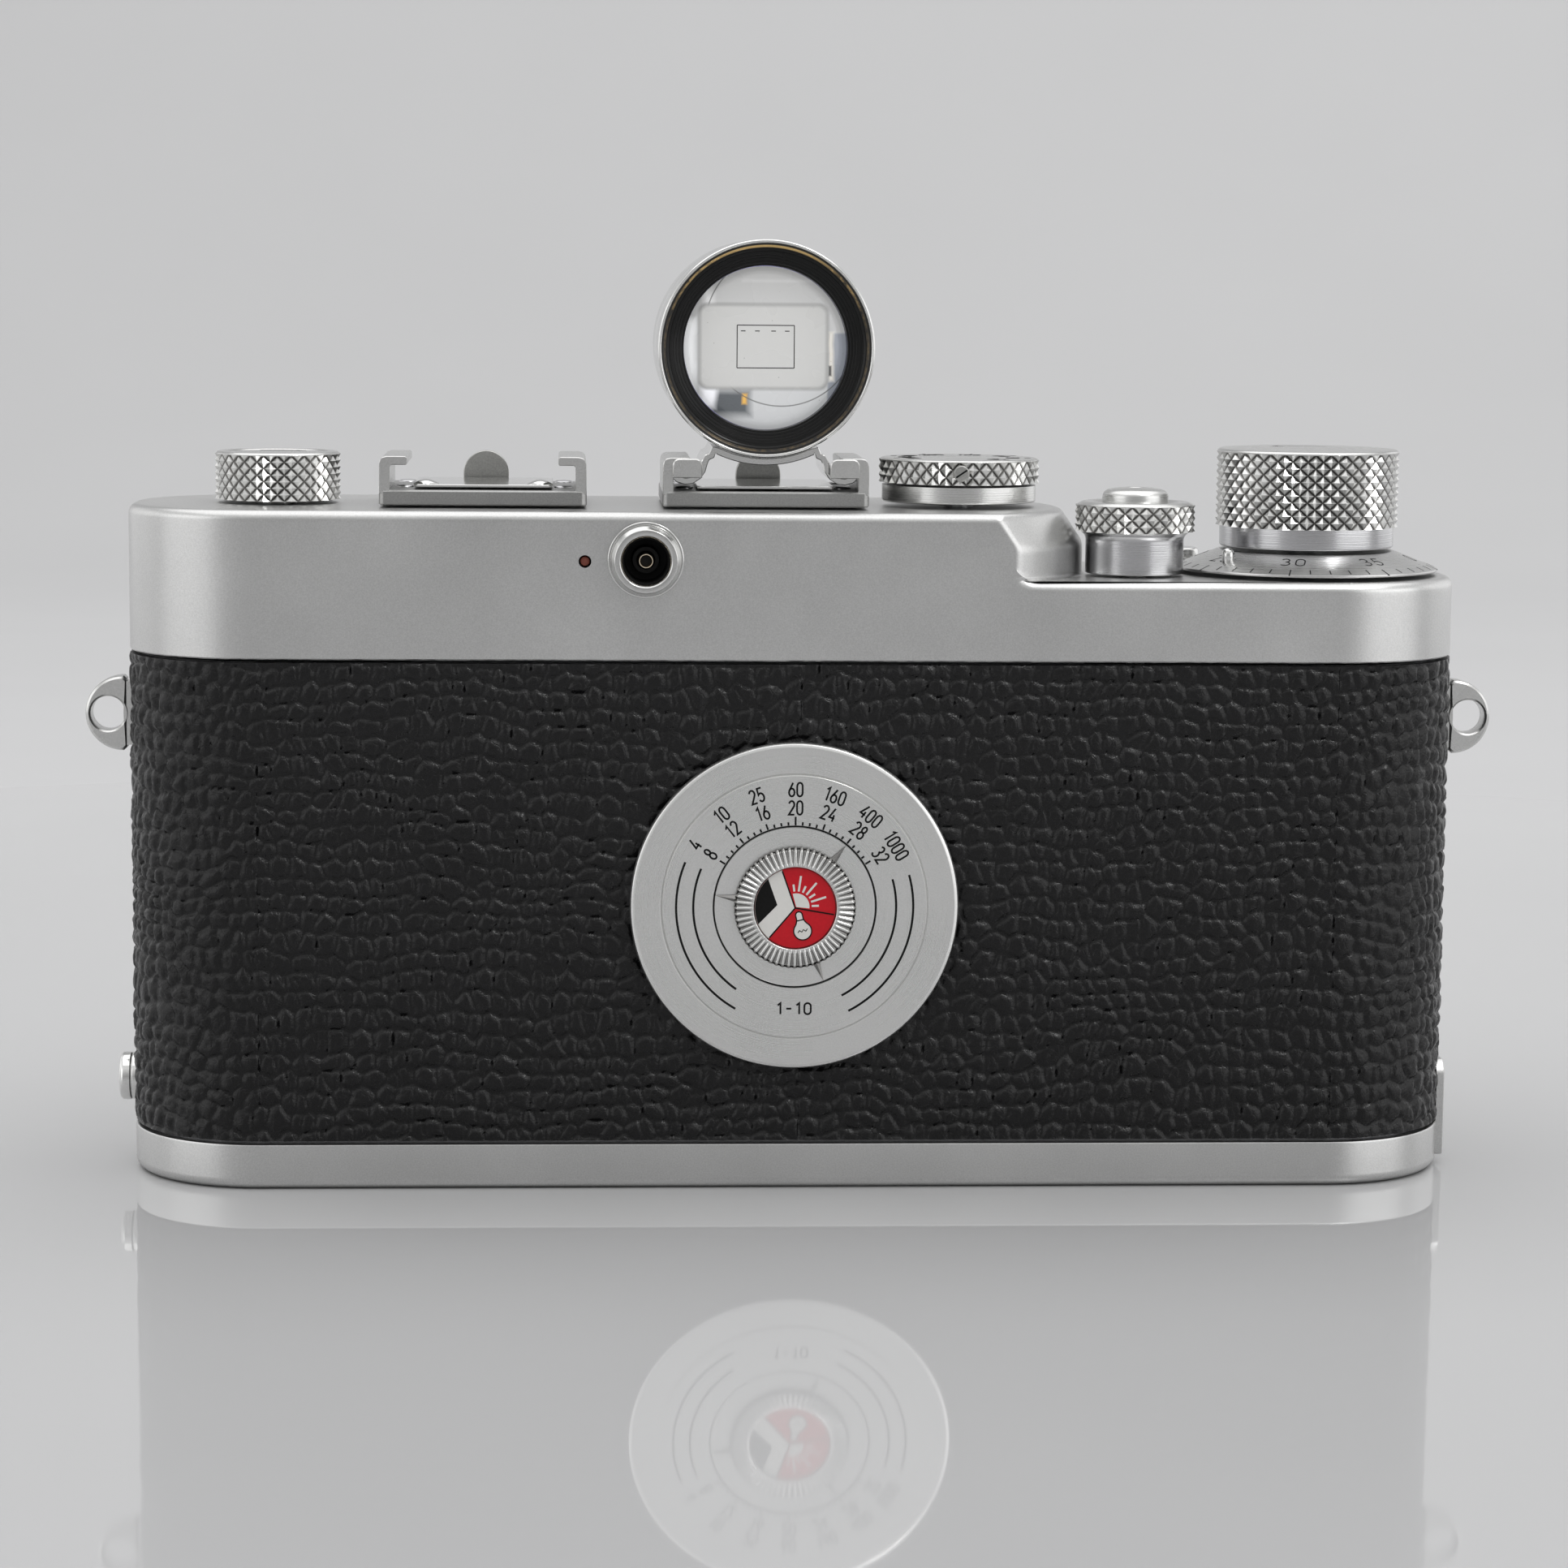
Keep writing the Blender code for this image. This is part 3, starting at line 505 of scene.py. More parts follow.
FIGURES = {
    "0": [arc(.25, .72, .25, .28, 0, 180) + arc(.25, .28, .25, .28, 180, 360) + [(.5, .72)]],
    "1": [[(.08, .80), (.30, 1), (.30, 0)]],
    "2": [arc(.25, .74, .24, .26, 165, -35) + [(.0, .0), (.5, .0)]],
    "3": [arc(.25, .76, .22, .24, 150, -90), arc(.25, .27, .26, .27, 85, -150)],
    "4": [[(.34, 1), (.0, .27), (.5, .27)], [(.38, .52), (.38, 0)]],
    "5": [[(.46, 1), (.08, 1), (.05, .53)] + arc(.24, .31, .25, .31, 125, -150)],
    "6": [[(.36, 1), (.05, .45)] + arc(.25, .29, .25, .29, 160, 520, 16)],
    "7": [[(0, 1), (.5, 1), (.18, 0)]],
    "8": [arc(.25, .765, .2, .235, -90, 270, 14), arc(.25, .27, .25, .27, 90, 450, 14)],
    "9": [[(.14, 0), (.45, .55)] + arc(.25, .71, .25, .29, -20, 340, 16)],
    "-": [[(.05, .5), (.45, .5)]],
}


def figures(text, height, squeeze=1.0, gap=0.22):
    """Strokes for a number, centred on (0, 0)."""
    strokes, x = [], 0.0
    for ch in text:
        wide, back = (0.36, 0.04) if ch == "1" else (0.5, 0.0)
        strokes += [[((px - back + x) * height * squeeze, (py - 0.5) * height) for px, py in s]
                    for s in FIGURES[ch]]
        x += wide + gap
    shift = (x - gap) * height * squeeze / 2
    return [[(px - shift, py) for px, py in s] for s in strokes]


def ribbon(points, width):
    """Flat strip along a polyline: (2-D points, quads)."""
    pts = [points[0]]
    for p in points[1:]:
        if math.dist(p, pts[-1]) > TINY:
            pts.append(p)
    out, n = [], len(pts)
    for k, (x, y) in enumerate(pts):
        a, b = pts[max(k - 1, 0)], pts[min(k + 1, n - 1)]
        if 0 < k < n - 1:
            d1 = ((x - a[0]) / math.dist(a, (x, y)), (y - a[1]) / math.dist(a, (x, y)))
            d2 = ((b[0] - x) / math.dist(b, (x, y)), (b[1] - y) / math.dist(b, (x, y)))
        else:
            d1 = d2 = ((b[0] - a[0]) / math.dist(a, b), (b[1] - a[1]) / math.dist(a, b))
        nx, ny = -(d1[1] + d2[1]), d1[0] + d2[0]
        size = math.hypot(nx, ny) or 1.0
        nx, ny = nx / size, ny / size
        reach = width / 2 / max(nx * -d1[1] + ny * d1[0], 0.45)
        out += [(x + nx * reach, y + ny * reach), (x - nx * reach, y - ny * reach)]
    return out, [(2 * k, 2 * k + 1, 2 * k + 3, 2 * k + 2) for k in range(n - 1)]


def around(strokes, angle, radius):
    """Turn strokes so that their tops point outwards at an angle about a centre."""
    c, s = math.cos(math.radians(angle)), math.sin(math.radians(angle))
    return [[((radius + y) * c + x * s, (radius + y) * s - x * c) for x, y in st] for st in strokes]


SUNK = -0.03                       # how far the rim of a mark goes below the face it is on


def inlay(strokes, width, to3d, lift=0.012):
    """Marks as thin raised inlays: each strip keeps a face and a rim. to3d(u, v, lift) maps to the part."""
    shapes = []
    for st in strokes:
        flat, quads = ribbon(st, width)
        n = len(flat)
        verts = [to3d(u, v, lift) for u, v in flat] + [to3d(u, v, SUNK) for u, v in flat]
        loop = list(range(0, n, 2)) + list(range(n - 1, 0, -2))
        rim = [(a, b, b + n, a + n) for a, b in zip(loop, loop[1:] + loop[:1])]
        shapes.append((verts, list(quads) + rim))
    return join(*shapes)


def plate_face(centre, y):
    """Maps a mark onto a face that looks to the rear; front_face and deck_face do it for their sides."""
    return lambda u, v, lift: (centre[0] + u, y - lift, centre[1] + v)


def front_face(centre, y):
    return lambda u, v, lift: (centre[0] - u, y + lift, centre[1] + v)


def deck_face(centre, z):
    return lambda u, v, lift: (centre[0] + u, centre[1] + v, z + lift)


def underside(centre, z):
    return lambda u, v, lift: (centre[0] + u, centre[1] + v, z - lift)


def dial_figures(texts, angles, radius, height, squeeze=1.0, gap=0.2):
    """Figures round a dial, each with its top outwards at its own angle."""
    strokes = []
    for text, angle in zip(texts.split(), angles):
        strokes += around(figures(text, height, squeeze, gap), angle, radius)
    return strokes


def ticks(angles, radius, outer, inner):
    strokes = []
    for angle in angles:
        strokes += around([[(0, outer), (0, inner)]], angle, radius)
    return strokes


def patch(outline, to3d, lift):
    """A filled mark with a rim."""
    n = len(outline)
    verts = [to3d(u, v, lift) for u, v in outline] + [to3d(u, v, SUNK) for u, v in outline]
    return verts, [tuple(range(n))] + [(a, (a + 1) % n, (a + 1) % n + n, a + n) for a in range(n)]


def knurl_band(centre, n, pitch, depth, r_out, lo, hi):
    """Crossed grooves round a rim: small pyramids, n to a turn, split along the floors of the grooves."""
    rows, cols = max(int(round(2 * (hi - lo) / pitch)), 2), 2 * n
    waist, verts, faces = r_out - depth - 0.35, [], []

    def spot(r, i, h):
        a = math.pi * i / n
        return (centre[0] + r * math.cos(a), centre[1] + r * math.sin(a), h)
    for j in range(rows + 1):
        for i in range(cols):
            verts.append(spot(r_out - depth * ((i + j) % 2 == 0), i, lo + (hi - lo) * j / rows))
    verts += [spot(waist, i, h) for h in (hi, lo) for i in range(cols)]
    for j in range(rows + 3):
        below, above = j * cols, (j + 1) % (rows + 3) * cols
        for i in range(cols):
            a, b, c, d = below + i, below + (i + 1) % cols, above + (i + 1) % cols, above + i
            if j >= rows:
                faces.append((a, b, c, d))
            elif (i + j) % 2 == 0:
                faces += [(a, b, c), (a, c, d)]
            else:
                faces += [(a, b, d), (b, c, d)]
    return verts, faces


def knurled(name, centre, profile_in, band, n, pitch, depth, r_out, body, node_name):
    """A knob with a knurled band (low, high); profile_in runs on from the band's top to its foot."""
    lo, hi = band
    waist = r_out - depth - 0.1
    core = soft([(waist, hi)] + profile_in + [(waist, lo)], 0.10, 3, None)
    piece(name, revolved("z", centre, core, 128), "satin", body, node_name)
    teeth = knurl_band(centre, n, pitch, depth, r_out, lo, hi)
    chrome = knurl_metal(name + "_chrome", centre, r_out, depth)
    piece(name + "_teeth", teeth, chrome, body, node_name, sharp=8, level=False)


# ---------------------------------------------------------------- top cover
STEPS, BAND = 16, 12               # points round each corner, and along the end of the high deck's wall
WALL_X, WALL_R = 11.7, 17.3        # centre and radius of the curved wall that ends the high deck
WALL_EDGE = 1.6                    # rounding between that wall and the long sides
KNEE, LEAN = 63.6, 0.68            # where the wall starts to lean back, and how much it leans
LIP = 1.3                          # rounding between the leaning wall and the high deck
EDGE = 0.95                        # rounding of the long edges
WALL = 1.0                         # thickness of the cover's sheet
FOOT = 0.45                        # rounding where the wall meets the low deck
FACE_END, DECK_START = 19.9, 23.4  # where the tall side face ends and the low deck's edge is complete


def eased(u):
    return u * u * (3 - 2 * u)


def both_sides(half):
    return half + [(x, -y) for x, y in half[::-1]]


def full_half(inset, left_inset):
    """The right part of the outline below the low deck, from the end of the tall face to its mirror."""
    hw, hd, r = HALF - inset, DEEP - inset, CORNER - inset
    half = []
    for k in range(BAND + 1):
        u = k / BAND
        step_in = left_inset + (inset - left_inset) * eased(max(0.0, u - 0.3) / 0.7)
        half.append((FACE_END + (DECK_START - FACE_END) * u, step_in - DEEP))
    for k in range(STEPS + 1):
        a = math.radians(90.0 * k / STEPS - 90)
        half.append((hw - r + r * math.cos(a), r - hd + r * math.sin(a)))
    return both_sides(half)


def wall_half(cx, radius, inset):
    """The same part above the low deck: a rounded corner, the curved wall, and the mirrored corner."""
    y = WALL_EDGE - (DEEP - inset)
    x = cx + math.sqrt((radius - WALL_EDGE) ** 2 - y * y)
    end = math.atan2(y, x - cx)
    half = []
    for k in range(BAND + 1):
        a = -math.pi / 2 + (end + math.pi / 2) * k / BAND
        half.append((x + WALL_EDGE * math.cos(a), y + WALL_EDGE * math.sin(a)))
    for k in range(1, STEPS + 2):
        a = end * (1 - k / (STEPS + 1.5))
        half.append((cx + radius * math.cos(a), radius * math.sin(a)))
    return both_sides(half)


def cover_ring(right, z, inset, left_z):
    """One outline of the cover; its height passes from left_z to z along the rounded corners."""
    hw, hd, r = HALF - inset, DEEP - inset, CORNER - inset
    start, last = right[0][0] - 0.8, len(right) - 1
    left = [(start, hd)]
    for sy, a0 in ((1, 90), (-1, 180)):
        for k in range(STEPS + 1):
            a = math.radians(a0 + 90.0 * k / STEPS)
            left.append((-(hw - r) + r * math.cos(a), sy * (hd - r) + r * math.sin(a)))
    ring = []
    for k, (x, y) in enumerate(right):
        u = min(k / BAND, (last - k) / BAND, 1.0)
        ring.append((x, y, left_z + (z - left_z) * eased(u)))
    return ring + at(left + [(start, -hd)], left_z)


def wall_place(z):
    """Centre of the wall's curve at a height: upright, then leaning, then rounded over onto the deck."""
    past = z - KNEE
    lean = max(past + 0.5, 0.0) ** 2 / 2 if past < 0.5 else past
    slope = math.atan(LEAN)
    top = HIGH_DECK - LIP * (1 - math.sin(slope))
    if z <= top:
        return WALL_X - LEAN * lean
    turn = math.asin(min(math.sin(slope) + (z - top) / LIP, 1.0))
    return WALL_X - LEAN * (top - KNEE) - LIP * (math.cos(slope) - math.cos(turn))


def low_ring(z, inset, left_inset, left_z):
    return cover_ring(full_half(inset, left_inset), z, left_inset, left_z)


def high_ring(z, inset=0.0, left_z=None):
    return cover_ring(wall_half(wall_place(z), WALL_R, inset), z, inset, z if left_z is None else left_z)


def build_cover():
    foot = COVER_LOW + 0.14
    outer = [low_ring(COVER_LOW, 0.12, 0.12, COVER_LOW), low_ring(foot, 0.0, 0.0, foot),
             low_ring(59.0, 0.0, 0.0, 58.9)]
    for k, (sin, cos) in enumerate(quarter(7)):
        outer.append(low_ring(LOW_DECK - EDGE * (1 - sin), EDGE * (1 - cos), 0.0, 59.4 + 1.2 * k / 7))
    for k, (sin, cos) in enumerate(quarter(5)):
        outer.append(cover_ring(wall_half(WALL_X, WALL_R + FOOT * (1 - sin), 0.0),
                                LOW_DECK + FOOT * (1 - cos), 0.0, 60.9 + 1.0 * k / 5))
    outer += [high_ring(61.5, 0.0, 62.1), high_ring(62.1, 0.0, 62.4)]
    outer += [high_ring(z) for z in (62.7, 63.0, 63.2, 63.4, 63.6, 63.8, 64.0, 64.2, 64.8, 65.5)]
    outer += [high_ring(HIGH_DECK - EDGE * (1 - sin), EDGE * (1 - cos)) for sin, cos in quarter(12)]
    w, under, ceiling = WALL, LOW_DECK - WALL, HIGH_DECK - WALL
    inner = [cover_ring(wall_half(wall_place(HIGH_DECK) + 0.5, WALL_R - w, w), ceiling, w, ceiling),
             cover_ring(wall_half(WALL_X, WALL_R - w, w), 63.0, w, 63.0),
             cover_ring(wall_half(WALL_X, WALL_R - w, w), under, w, under + 0.6),
             low_ring(under - 0.05, w, w, under - 0.05), low_ring(COVER_LOW, w, w, COVER_LOW)]
    rings = outer + inner
    n, k = len(rings[0]), len(outer) - 1
    verts, faces = loft(rings, closed=True)
    faces = [f for i, f in enumerate(faces) if not k * n <= i < (k + 1) * n]
    faces += [tuple(k * n + i for i in range(n)), tuple((k + 1) * n + i for i in range(n))]
    cover = piece("cover_shell", (verts, faces), "cover", "camera", "top_cover")
    holes = [rod("z", spot, r, 60, 70) for spot, r in ((REWIND, 2.6), (SPEED, 2.1))]
    holes += [rod("z", spot, r, 55, 64) for spot, r in ((RELEASE, 2.2), (WIND, 2.8), (LEVER, 1.3))]
    cut(cover, *holes, rod("y", SYNC, 2.95, -17, -12), rod("y", INDEX, 0.62, -17, -12, 24))


# ---------------------------------------------------------------- leather
LEATHER_R, OPENING_R = 13.6, 23.1  # the leather's corner radius, and its opening for the lens mount
NOTCH_Y, NOTCH_Z = 4.9, 11.4       # half width and top of the notch round the hook stud
RIM = 0.8                          # how far the leather's cut edges go in
GRAIN_SEED = 23
CELL, WRINKLE = (1.7, 1.85), (0.8, 0.95)  # width and height of the grain's cells and of its fine wrinkles


def smooth_noise(rng, cols, rows, u, v):
    """Periodic-in-u value noise: u runs 0..cols, v runs 0..rows."""
    grid = rng.random((cols, rows + 3)) * 2 - 1
    iu, iv = np.floor(u).astype(int), np.clip(np.floor(v).astype(int), 0, rows)
    fu, fv = u - iu, v - iv
    fu, fv = eased(fu), eased(fv)
    a, b = iu % cols, (iu + 1) % cols
    top = grid[a, iv + 1] * (1 - fu) + grid[b, iv + 1] * fu
    bottom = grid[a, iv] * (1 - fu) + grid[b, iv] * fu
    return bottom * (1 - fv) + top * fv


def cells(rng, cols, rows, u, v, jitter_u, jitter_v, across):
    """Nearest and second nearest seed of a jittered brick lattice, with the place inside the cell."""
    ju = (rng.random((cols, rows + 6)) - 0.5) * jitter_u
    jv = (rng.random((cols, rows + 6)) - 0.5) * jitter_v
    first_d, second_d = np.full(u.shape, 9.0), np.full(u.shape, 9.0)
    own = [np.zeros(u.shape) for _ in range(2)]
    own_a, own_b, other_b = (np.zeros(u.shape, int) for _ in range(3))
    iu, iv = np.floor(u).astype(int), np.floor(v).astype(int)
    for dv in (-1, 0, 1):
        for du in (-2, -1, 0, 1, 2):
            ci, ri = iu + du, iv + dv
            a, b = ci % cols, np.clip(ri + 3, 0, rows + 5)
            dx = (u - (ci + 0.25 + 0.5 * (ri % 2) + ju[a, b])) * across
            dz = v - (ri + 0.5 + jv[a, b])
            d = np.hypot(dx, dz)
            first = d < first_d
            second = ~first & (d < second_d)
            other_b = np.where(first, own_b, np.where(second, b, other_b))
            second_d = np.where(first, first_d, np.where(second, d, second_d))
            first_d = np.where(first, d, first_d)
            own = [np.where(first, dx, own[0]), np.where(first, dz, own[1])]
            own_a, own_b = np.where(first, a, own_a), np.where(first, b, own_b)
    return second_d - first_d, own, (own_a, own_b), own_b != other_b


def grain_height(u, z, length, height):
    """Height in mm of the leather grain: wavy rows of uneven faceted cells with creases between them."""
    rng = np.random.default_rng(GRAIN_SEED)
    warp_z = 1.15 * smooth_noise(rng, 21, 6, u / length * 21, z / height * 5)
    warp_z += 0.55 * smooth_noise(rng, 56, 12, u / length * 56, z / height * 11)
    warp_u = 1.0 * smooth_noise(rng, 40, 9, u / length * 40, z / height * 8)
    fine_u = 0.22 * smooth_noise(rng, 190, 36, u / length * 190, z / height * 35)
    fine_z = 0.20 * smooth_noise(rng, 190, 36, u / length * 190, z / height * 35)
    uu, zz = (u + warp_u + fine_u) / length, (z + warp_z + fine_z) / height
    cols, rows = int(round(length / CELL[0])), int(round(height / CELL[1]))
    gap, (dx, dz), cell, row_change = cells(rng, cols, rows, uu * cols, zz * rows, 0.85, 0.36, 0.95)
    tilt = (rng.random((cols, rows + 6, 7)) * 2 - 1)[cell]
    one = tilt[..., 0] * dx + tilt[..., 1] * dz
    two = tilt[..., 2] * dx + tilt[..., 3] * dz + 0.25 * tilt[..., 4]
    facets = np.minimum(one, two) + 0.2 * tilt[..., 5]
    plateau = 1 - np.exp(-(gap * 1.8 / 0.50) ** 1.5)
    drop = np.where(row_change, 0.34, 0.24 + 0.08 * tilt[..., 6])
    cols2, rows2 = int(round(length / WRINKLE[0])), int(round(height / WRINKLE[1]))
    gap2, (dx2, dz2), cell2, _ = cells(rng, cols2, rows2, uu * cols2, zz * rows2, 0.95, 0.7, 1.0)
    tilt2 = (rng.random((cols2, rows2 + 6, 3)) * 2 - 1)[cell2]
    wrinkle = np.exp(-(gap2 / 0.22) ** 2) * (0.5 + 0.5 * tilt2[..., 2])
    h = 0.24 * facets + drop * (plateau - 1) + 0.09 * (tilt2[..., 0] * dx2 + tilt2[..., 1] * dz2)
    return np.clip(h - 0.08 * wrinkle - 0.02, -0.42, 0.12)


def leather_outline(u, hw, hd, r):
    """Point and outward normal at arc length u round a rounded rectangle."""
    a, b, q = hw - r, hd - r, r * math.pi / 2
    x, y, nx, ny = (np.zeros_like(u) for _ in range(4))
    s = 0.0
    for length, kind, p, ang in (
            (2 * a, "line", (-a, -hd), 0), (q, "arc", (a, -b), -90), (2 * b, "line", (hw, -b), 90),
            (q, "arc", (a, b), 0), (2 * a, "line", (a, hd), 180), (q, "arc", (-a, b), 90),
            (2 * b, "line", (-hw, b), 270), (q, "arc", (-a, -b), 180)):
        m = (u >= s - 1e-9) & (u <= s + length + 1e-9)
        t = u[m] - s
        if kind == "line":
            d = math.radians(ang)
            x[m], y[m] = p[0] + t * math.cos(d), p[1] + t * math.sin(d)
            nx[m], ny[m] = math.sin(d), -math.cos(d)
        else:
            d = math.radians(ang) + t / r
            nx[m], ny[m] = np.cos(d), np.sin(d)
            x[m], y[m] = p[0] + r * nx[m], p[1] + r * ny[m]
        s += length
    return x, y, nx, ny


def leather_strip(name, u0, u1, step, length, heights):
    """One stretch of the grained leather, between two places round the body."""
    hw, hd = high("leather_cover")[0], high("leather_cover")[1]
    cols, rows = int(round((u1 - u0) / step)) + 1, len(heights)
    u = np.repeat(np.linspace(u0, u1, cols), rows)
    z = np.tile(heights, cols)
    x, y, nx, ny = leather_outline(u, hw, hd, LEATHER_R)
    grain = grain_height(u, z - heights[0], length, heights[-1] - heights[0])
    near = np.minimum(z - heights[0], heights[-1] - z)
    grain = grain * np.clip(near / 0.5 + 0.35, 0, 1) - 0.12 * np.exp(-(near / 0.25) ** 2) - 0.03
    co = np.stack([x + nx * grain, y + ny * grain, z], 1)
    gone = (y > 0) & (np.hypot(x - LENS[0], z - LENS[1]) < OPENING_R)
    right_end = 60
    gone |= (x > right_end) & (abs(y) < NOTCH_Y) & (z < NOTCH_Z)
    index = np.arange(cols * rows).reshape(cols, rows)
    quads = np.stack([index[:-1, :-1], index[1:, :-1], index[1:, 1:], index[:-1, 1:]], -1).reshape(-1, 4)
    lost = gone[quads].sum(1) >= 3
    kept = quads[~lost]
    # the rim of each opening is drawn onto its true outline
    for i in np.intersect1d(np.unique(quads[lost]), np.unique(kept)):
        dx, dz = co[i, 0] - LENS[0], co[i, 2] - LENS[1]
        if co[i, 1] > 0 and abs(math.hypot(dx, dz) - OPENING_R) < 3:
            scale = OPENING_R / math.hypot(dx, dz)
            co[i] = (LENS[0] + dx * scale, hd - 0.1, LENS[1] + dz * scale)
        elif co[i, 0] > right_end:
            if co[i, 2] > NOTCH_Z - 0.5:
                co[i, 2] = NOTCH_Z
            if abs(abs(co[i, 1]) - NOTCH_Y) < step:
                co[i, 1] = math.copysign(NOTCH_Y, co[i, 1])
    used, faces = np.unique(kept, return_inverse=True)
    faces = faces.reshape(kept.shape)
    edges = np.concatenate([np.stack([faces[:, k], faces[:, (k + 1) % 4]], 1) for k in range(4)])
    key = np.sort(edges, 1)
    _, where, seen = np.unique(key[:, 0] * len(used) + key[:, 1], return_index=True, return_counts=True)
    rim = edges[where[seen == 1]]
    # rim walls go in to the body shell
    inner = {i: len(used) + k for k, i in enumerate(sorted(set(rim.ravel().tolist())))}
    back = [co[used[i]] - RIM * np.array([nx[used[i]], ny[used[i]], 0]) for i in inner]
    verts = np.vstack([co[used], np.array(back)])
    walls = [(p, q, inner[q], inner[p]) for p, q in rim.tolist()]
    piece(name, (verts, faces.tolist() + walls), "leather", "camera", "leather_cover", sharp=75, level=False)


def build_leather():
    hw, hd = high("leather_cover")[0], high("leather_cover")[1]
    side, end = 2 * (hw - LEATHER_R), math.pi * LEATHER_R + 2 * (hd - LEATHER_R)
    length = 2 * (side + end)
    coarse = 1.0
    low_z, high_z = low("leather_cover")[2], high("leather_cover")[2]
    heights = np.linspace(low_z, high_z, int(round((high_z - low_z) / (0.2 * coarse))) + 1)
    strips = (("leather_rear_left", 0, side / 2, 0.19), ("leather_rear_right", side / 2, side, 0.19),
              ("leather_right_end", side, side + end, 0.23),
              ("leather_front", side + end, 2 * side + end, 0.36),
              ("leather_left_end", 2 * side + end, length, 0.23))
    for name, u0, u1, step in strips:
        leather_strip(name, u0, u1, step * coarse, length, heights)


# ---------------------------------------------------------------- base
def build_base():
    tab_proud, corner, top = 0.4, 13.35, 4.55
    plate = (high("base_plate")[0] - tab_proud, high("base_plate")[1], corner)
    rings = [at(rounded(plate, 1.1), 0.0)]
    rings += [at(rounded(plate, 0.9 - 0.9 * sin), 0.05 + 1.1 * (1 - cos)) for sin, cos in quarter(5)]
    rings += [at(rounded(plate, inset), z) for inset, z in (
        (0.0, top - 0.25), (0.08, top - 0.07), (0.22, top), (0.6, top), (0.7, top - 0.12), (0.7, 1.2))]
    base = piece("bottom_plate", loft(rings), "cover", "base", "base_plate")
    cut(base, rod("x", HOOK, 2.7, 64, 69), rod("z", KEY, 9.3, -1, 3, 64), rod("z", BUSH, 5.3, -1, 3))
    tab = [(-4.5, 1.0), (4.5, 1.0), (4.5, 9.6), (3.6, 10.8), (-3.6, 10.8), (-4.5, 9.6)]
    hook = piece("hook_tab", prism(soft(tab, 0.4, 3, False), "x", 65.9, 66.8), "cover", "base")
    cut(hook, rod("x", HOOK, 2.7, 64, 69))
    thread = [(5.0, 0.15), (5.0, 1.5), (7.0, 1.5), (7.0, 2.3), (5.0, 2.3), (5.0, 5.6), (0, 5.6), (0, 5.0),
              (3.2, 5.0)]
    pitch = 0.63
    for k in range(7):
        thread += [(3.2, 4.8 - pitch * k), (2.9, 4.55 - pitch * k), (3.2, 4.3 - pitch * k)]
    turned("tripod_socket_bush", "z", BUSH, thread + [(3.3, 0.15)],
           lathe("bush_steel", "steel", "z", BUSH), "base", "tripod_bush", 64, 0.08)
    turned("lock_key_disc", "z", KEY, [
        (0, 0.3), (5.5, 0.3), (5.7, 0.45), (5.7, 1.25), (7.6, 1.25), (7.6, 0.45), (7.8, 0.3), (9.0, 0.3),
        (9.0, 1.55), (10.5, 1.55), (10.5, 2.3), (0, 2.3)],
        lathe("key_chrome", "cover", "z", KEY), "key", "lock_key")
    dog = rectangle(KEY[0] - 3.6, -10.2, KEY[0] + 3.6, -2.0)
    piece("lock_key_dog", prism(soft(dog, 0.5, 3, False), "z", 2.05, 3.4), "steel", "key")
    arrow = [[(0, 1.6), (0, -1.8)], [(-0.7, 0.8), (0, 1.6), (0.7, 0.8)]]
    marks = around(arrow, 90, 2.6) + around(arrow, 270, 2.6)
    piece("lock_key_marks", inlay(marks, 0.28, underside(KEY, 0.3), 0.02), "ink", "key")
    section, turns = arc(6.6, 0.72, 0.38, 0.26, 0, 330, 11), 40
    wire = [[(KEY[0] + r * math.cos(a), r * math.sin(a), z) for r, z in section]
            for a in (math.pi * k / turns for k in range(turns + 1))]
    piece("lock_bail_wire", loft(wire), "bright", "bail", "lock_bail")


# ---------------------------------------------------------------- lugs, studs, sync socket
def build_lug(name, side, node_name):
    """A strap lug: a ring that is flat where it meets the body, with a hole off its centre, and a stem."""
    hole_x, ring_x, flat_x = side * 68.85, side * 67.35, side * 67.0
    hole_r, ring_r, steps = 1.7, 3.75, 64
    d, outer, inner = hole_x - ring_x, [], []
    for k in range(steps):
        a = 2 * math.pi * k / steps
        c, s = math.cos(a), math.sin(a)
        reach = -d * c + math.sqrt(max((d * c) ** 2 - d * d + ring_r ** 2, 0.0))
        if side * c < 0:
            reach = min(reach, (flat_x - hole_x) / c)
        outer.append((c, s, reach))
        inner.append((c, s, hole_r))
    rings = []
    for pts, y, inset in ((outer, -0.95, 0), (outer, -1.15, 0.06), (outer, -1.3, 0.28), (inner, -1.3, -0.22),
                          (inner, -1.15, -0.05), (inner, -0.95, 0), (inner, 0.95, 0), (inner, 1.15, -0.05),
                          (inner, 1.3, -0.22), (outer, 1.3, 0.28), (outer, 1.15, 0.06), (outer, 0.95, 0)):
        rings.append([(hole_x + (r - inset) * c, y, LUG_Z + (r - inset) * s) for c, s, r in pts])
    stem = prism(rectangle(-1.0, LUG_Z - 3.2, 1.0, LUG_Z + 3.2), "x", side * 65.8, side * 67.1, 0.02)
    piece(name, join(loft(rings, closed=True), stem), "satin", "camera", node_name)


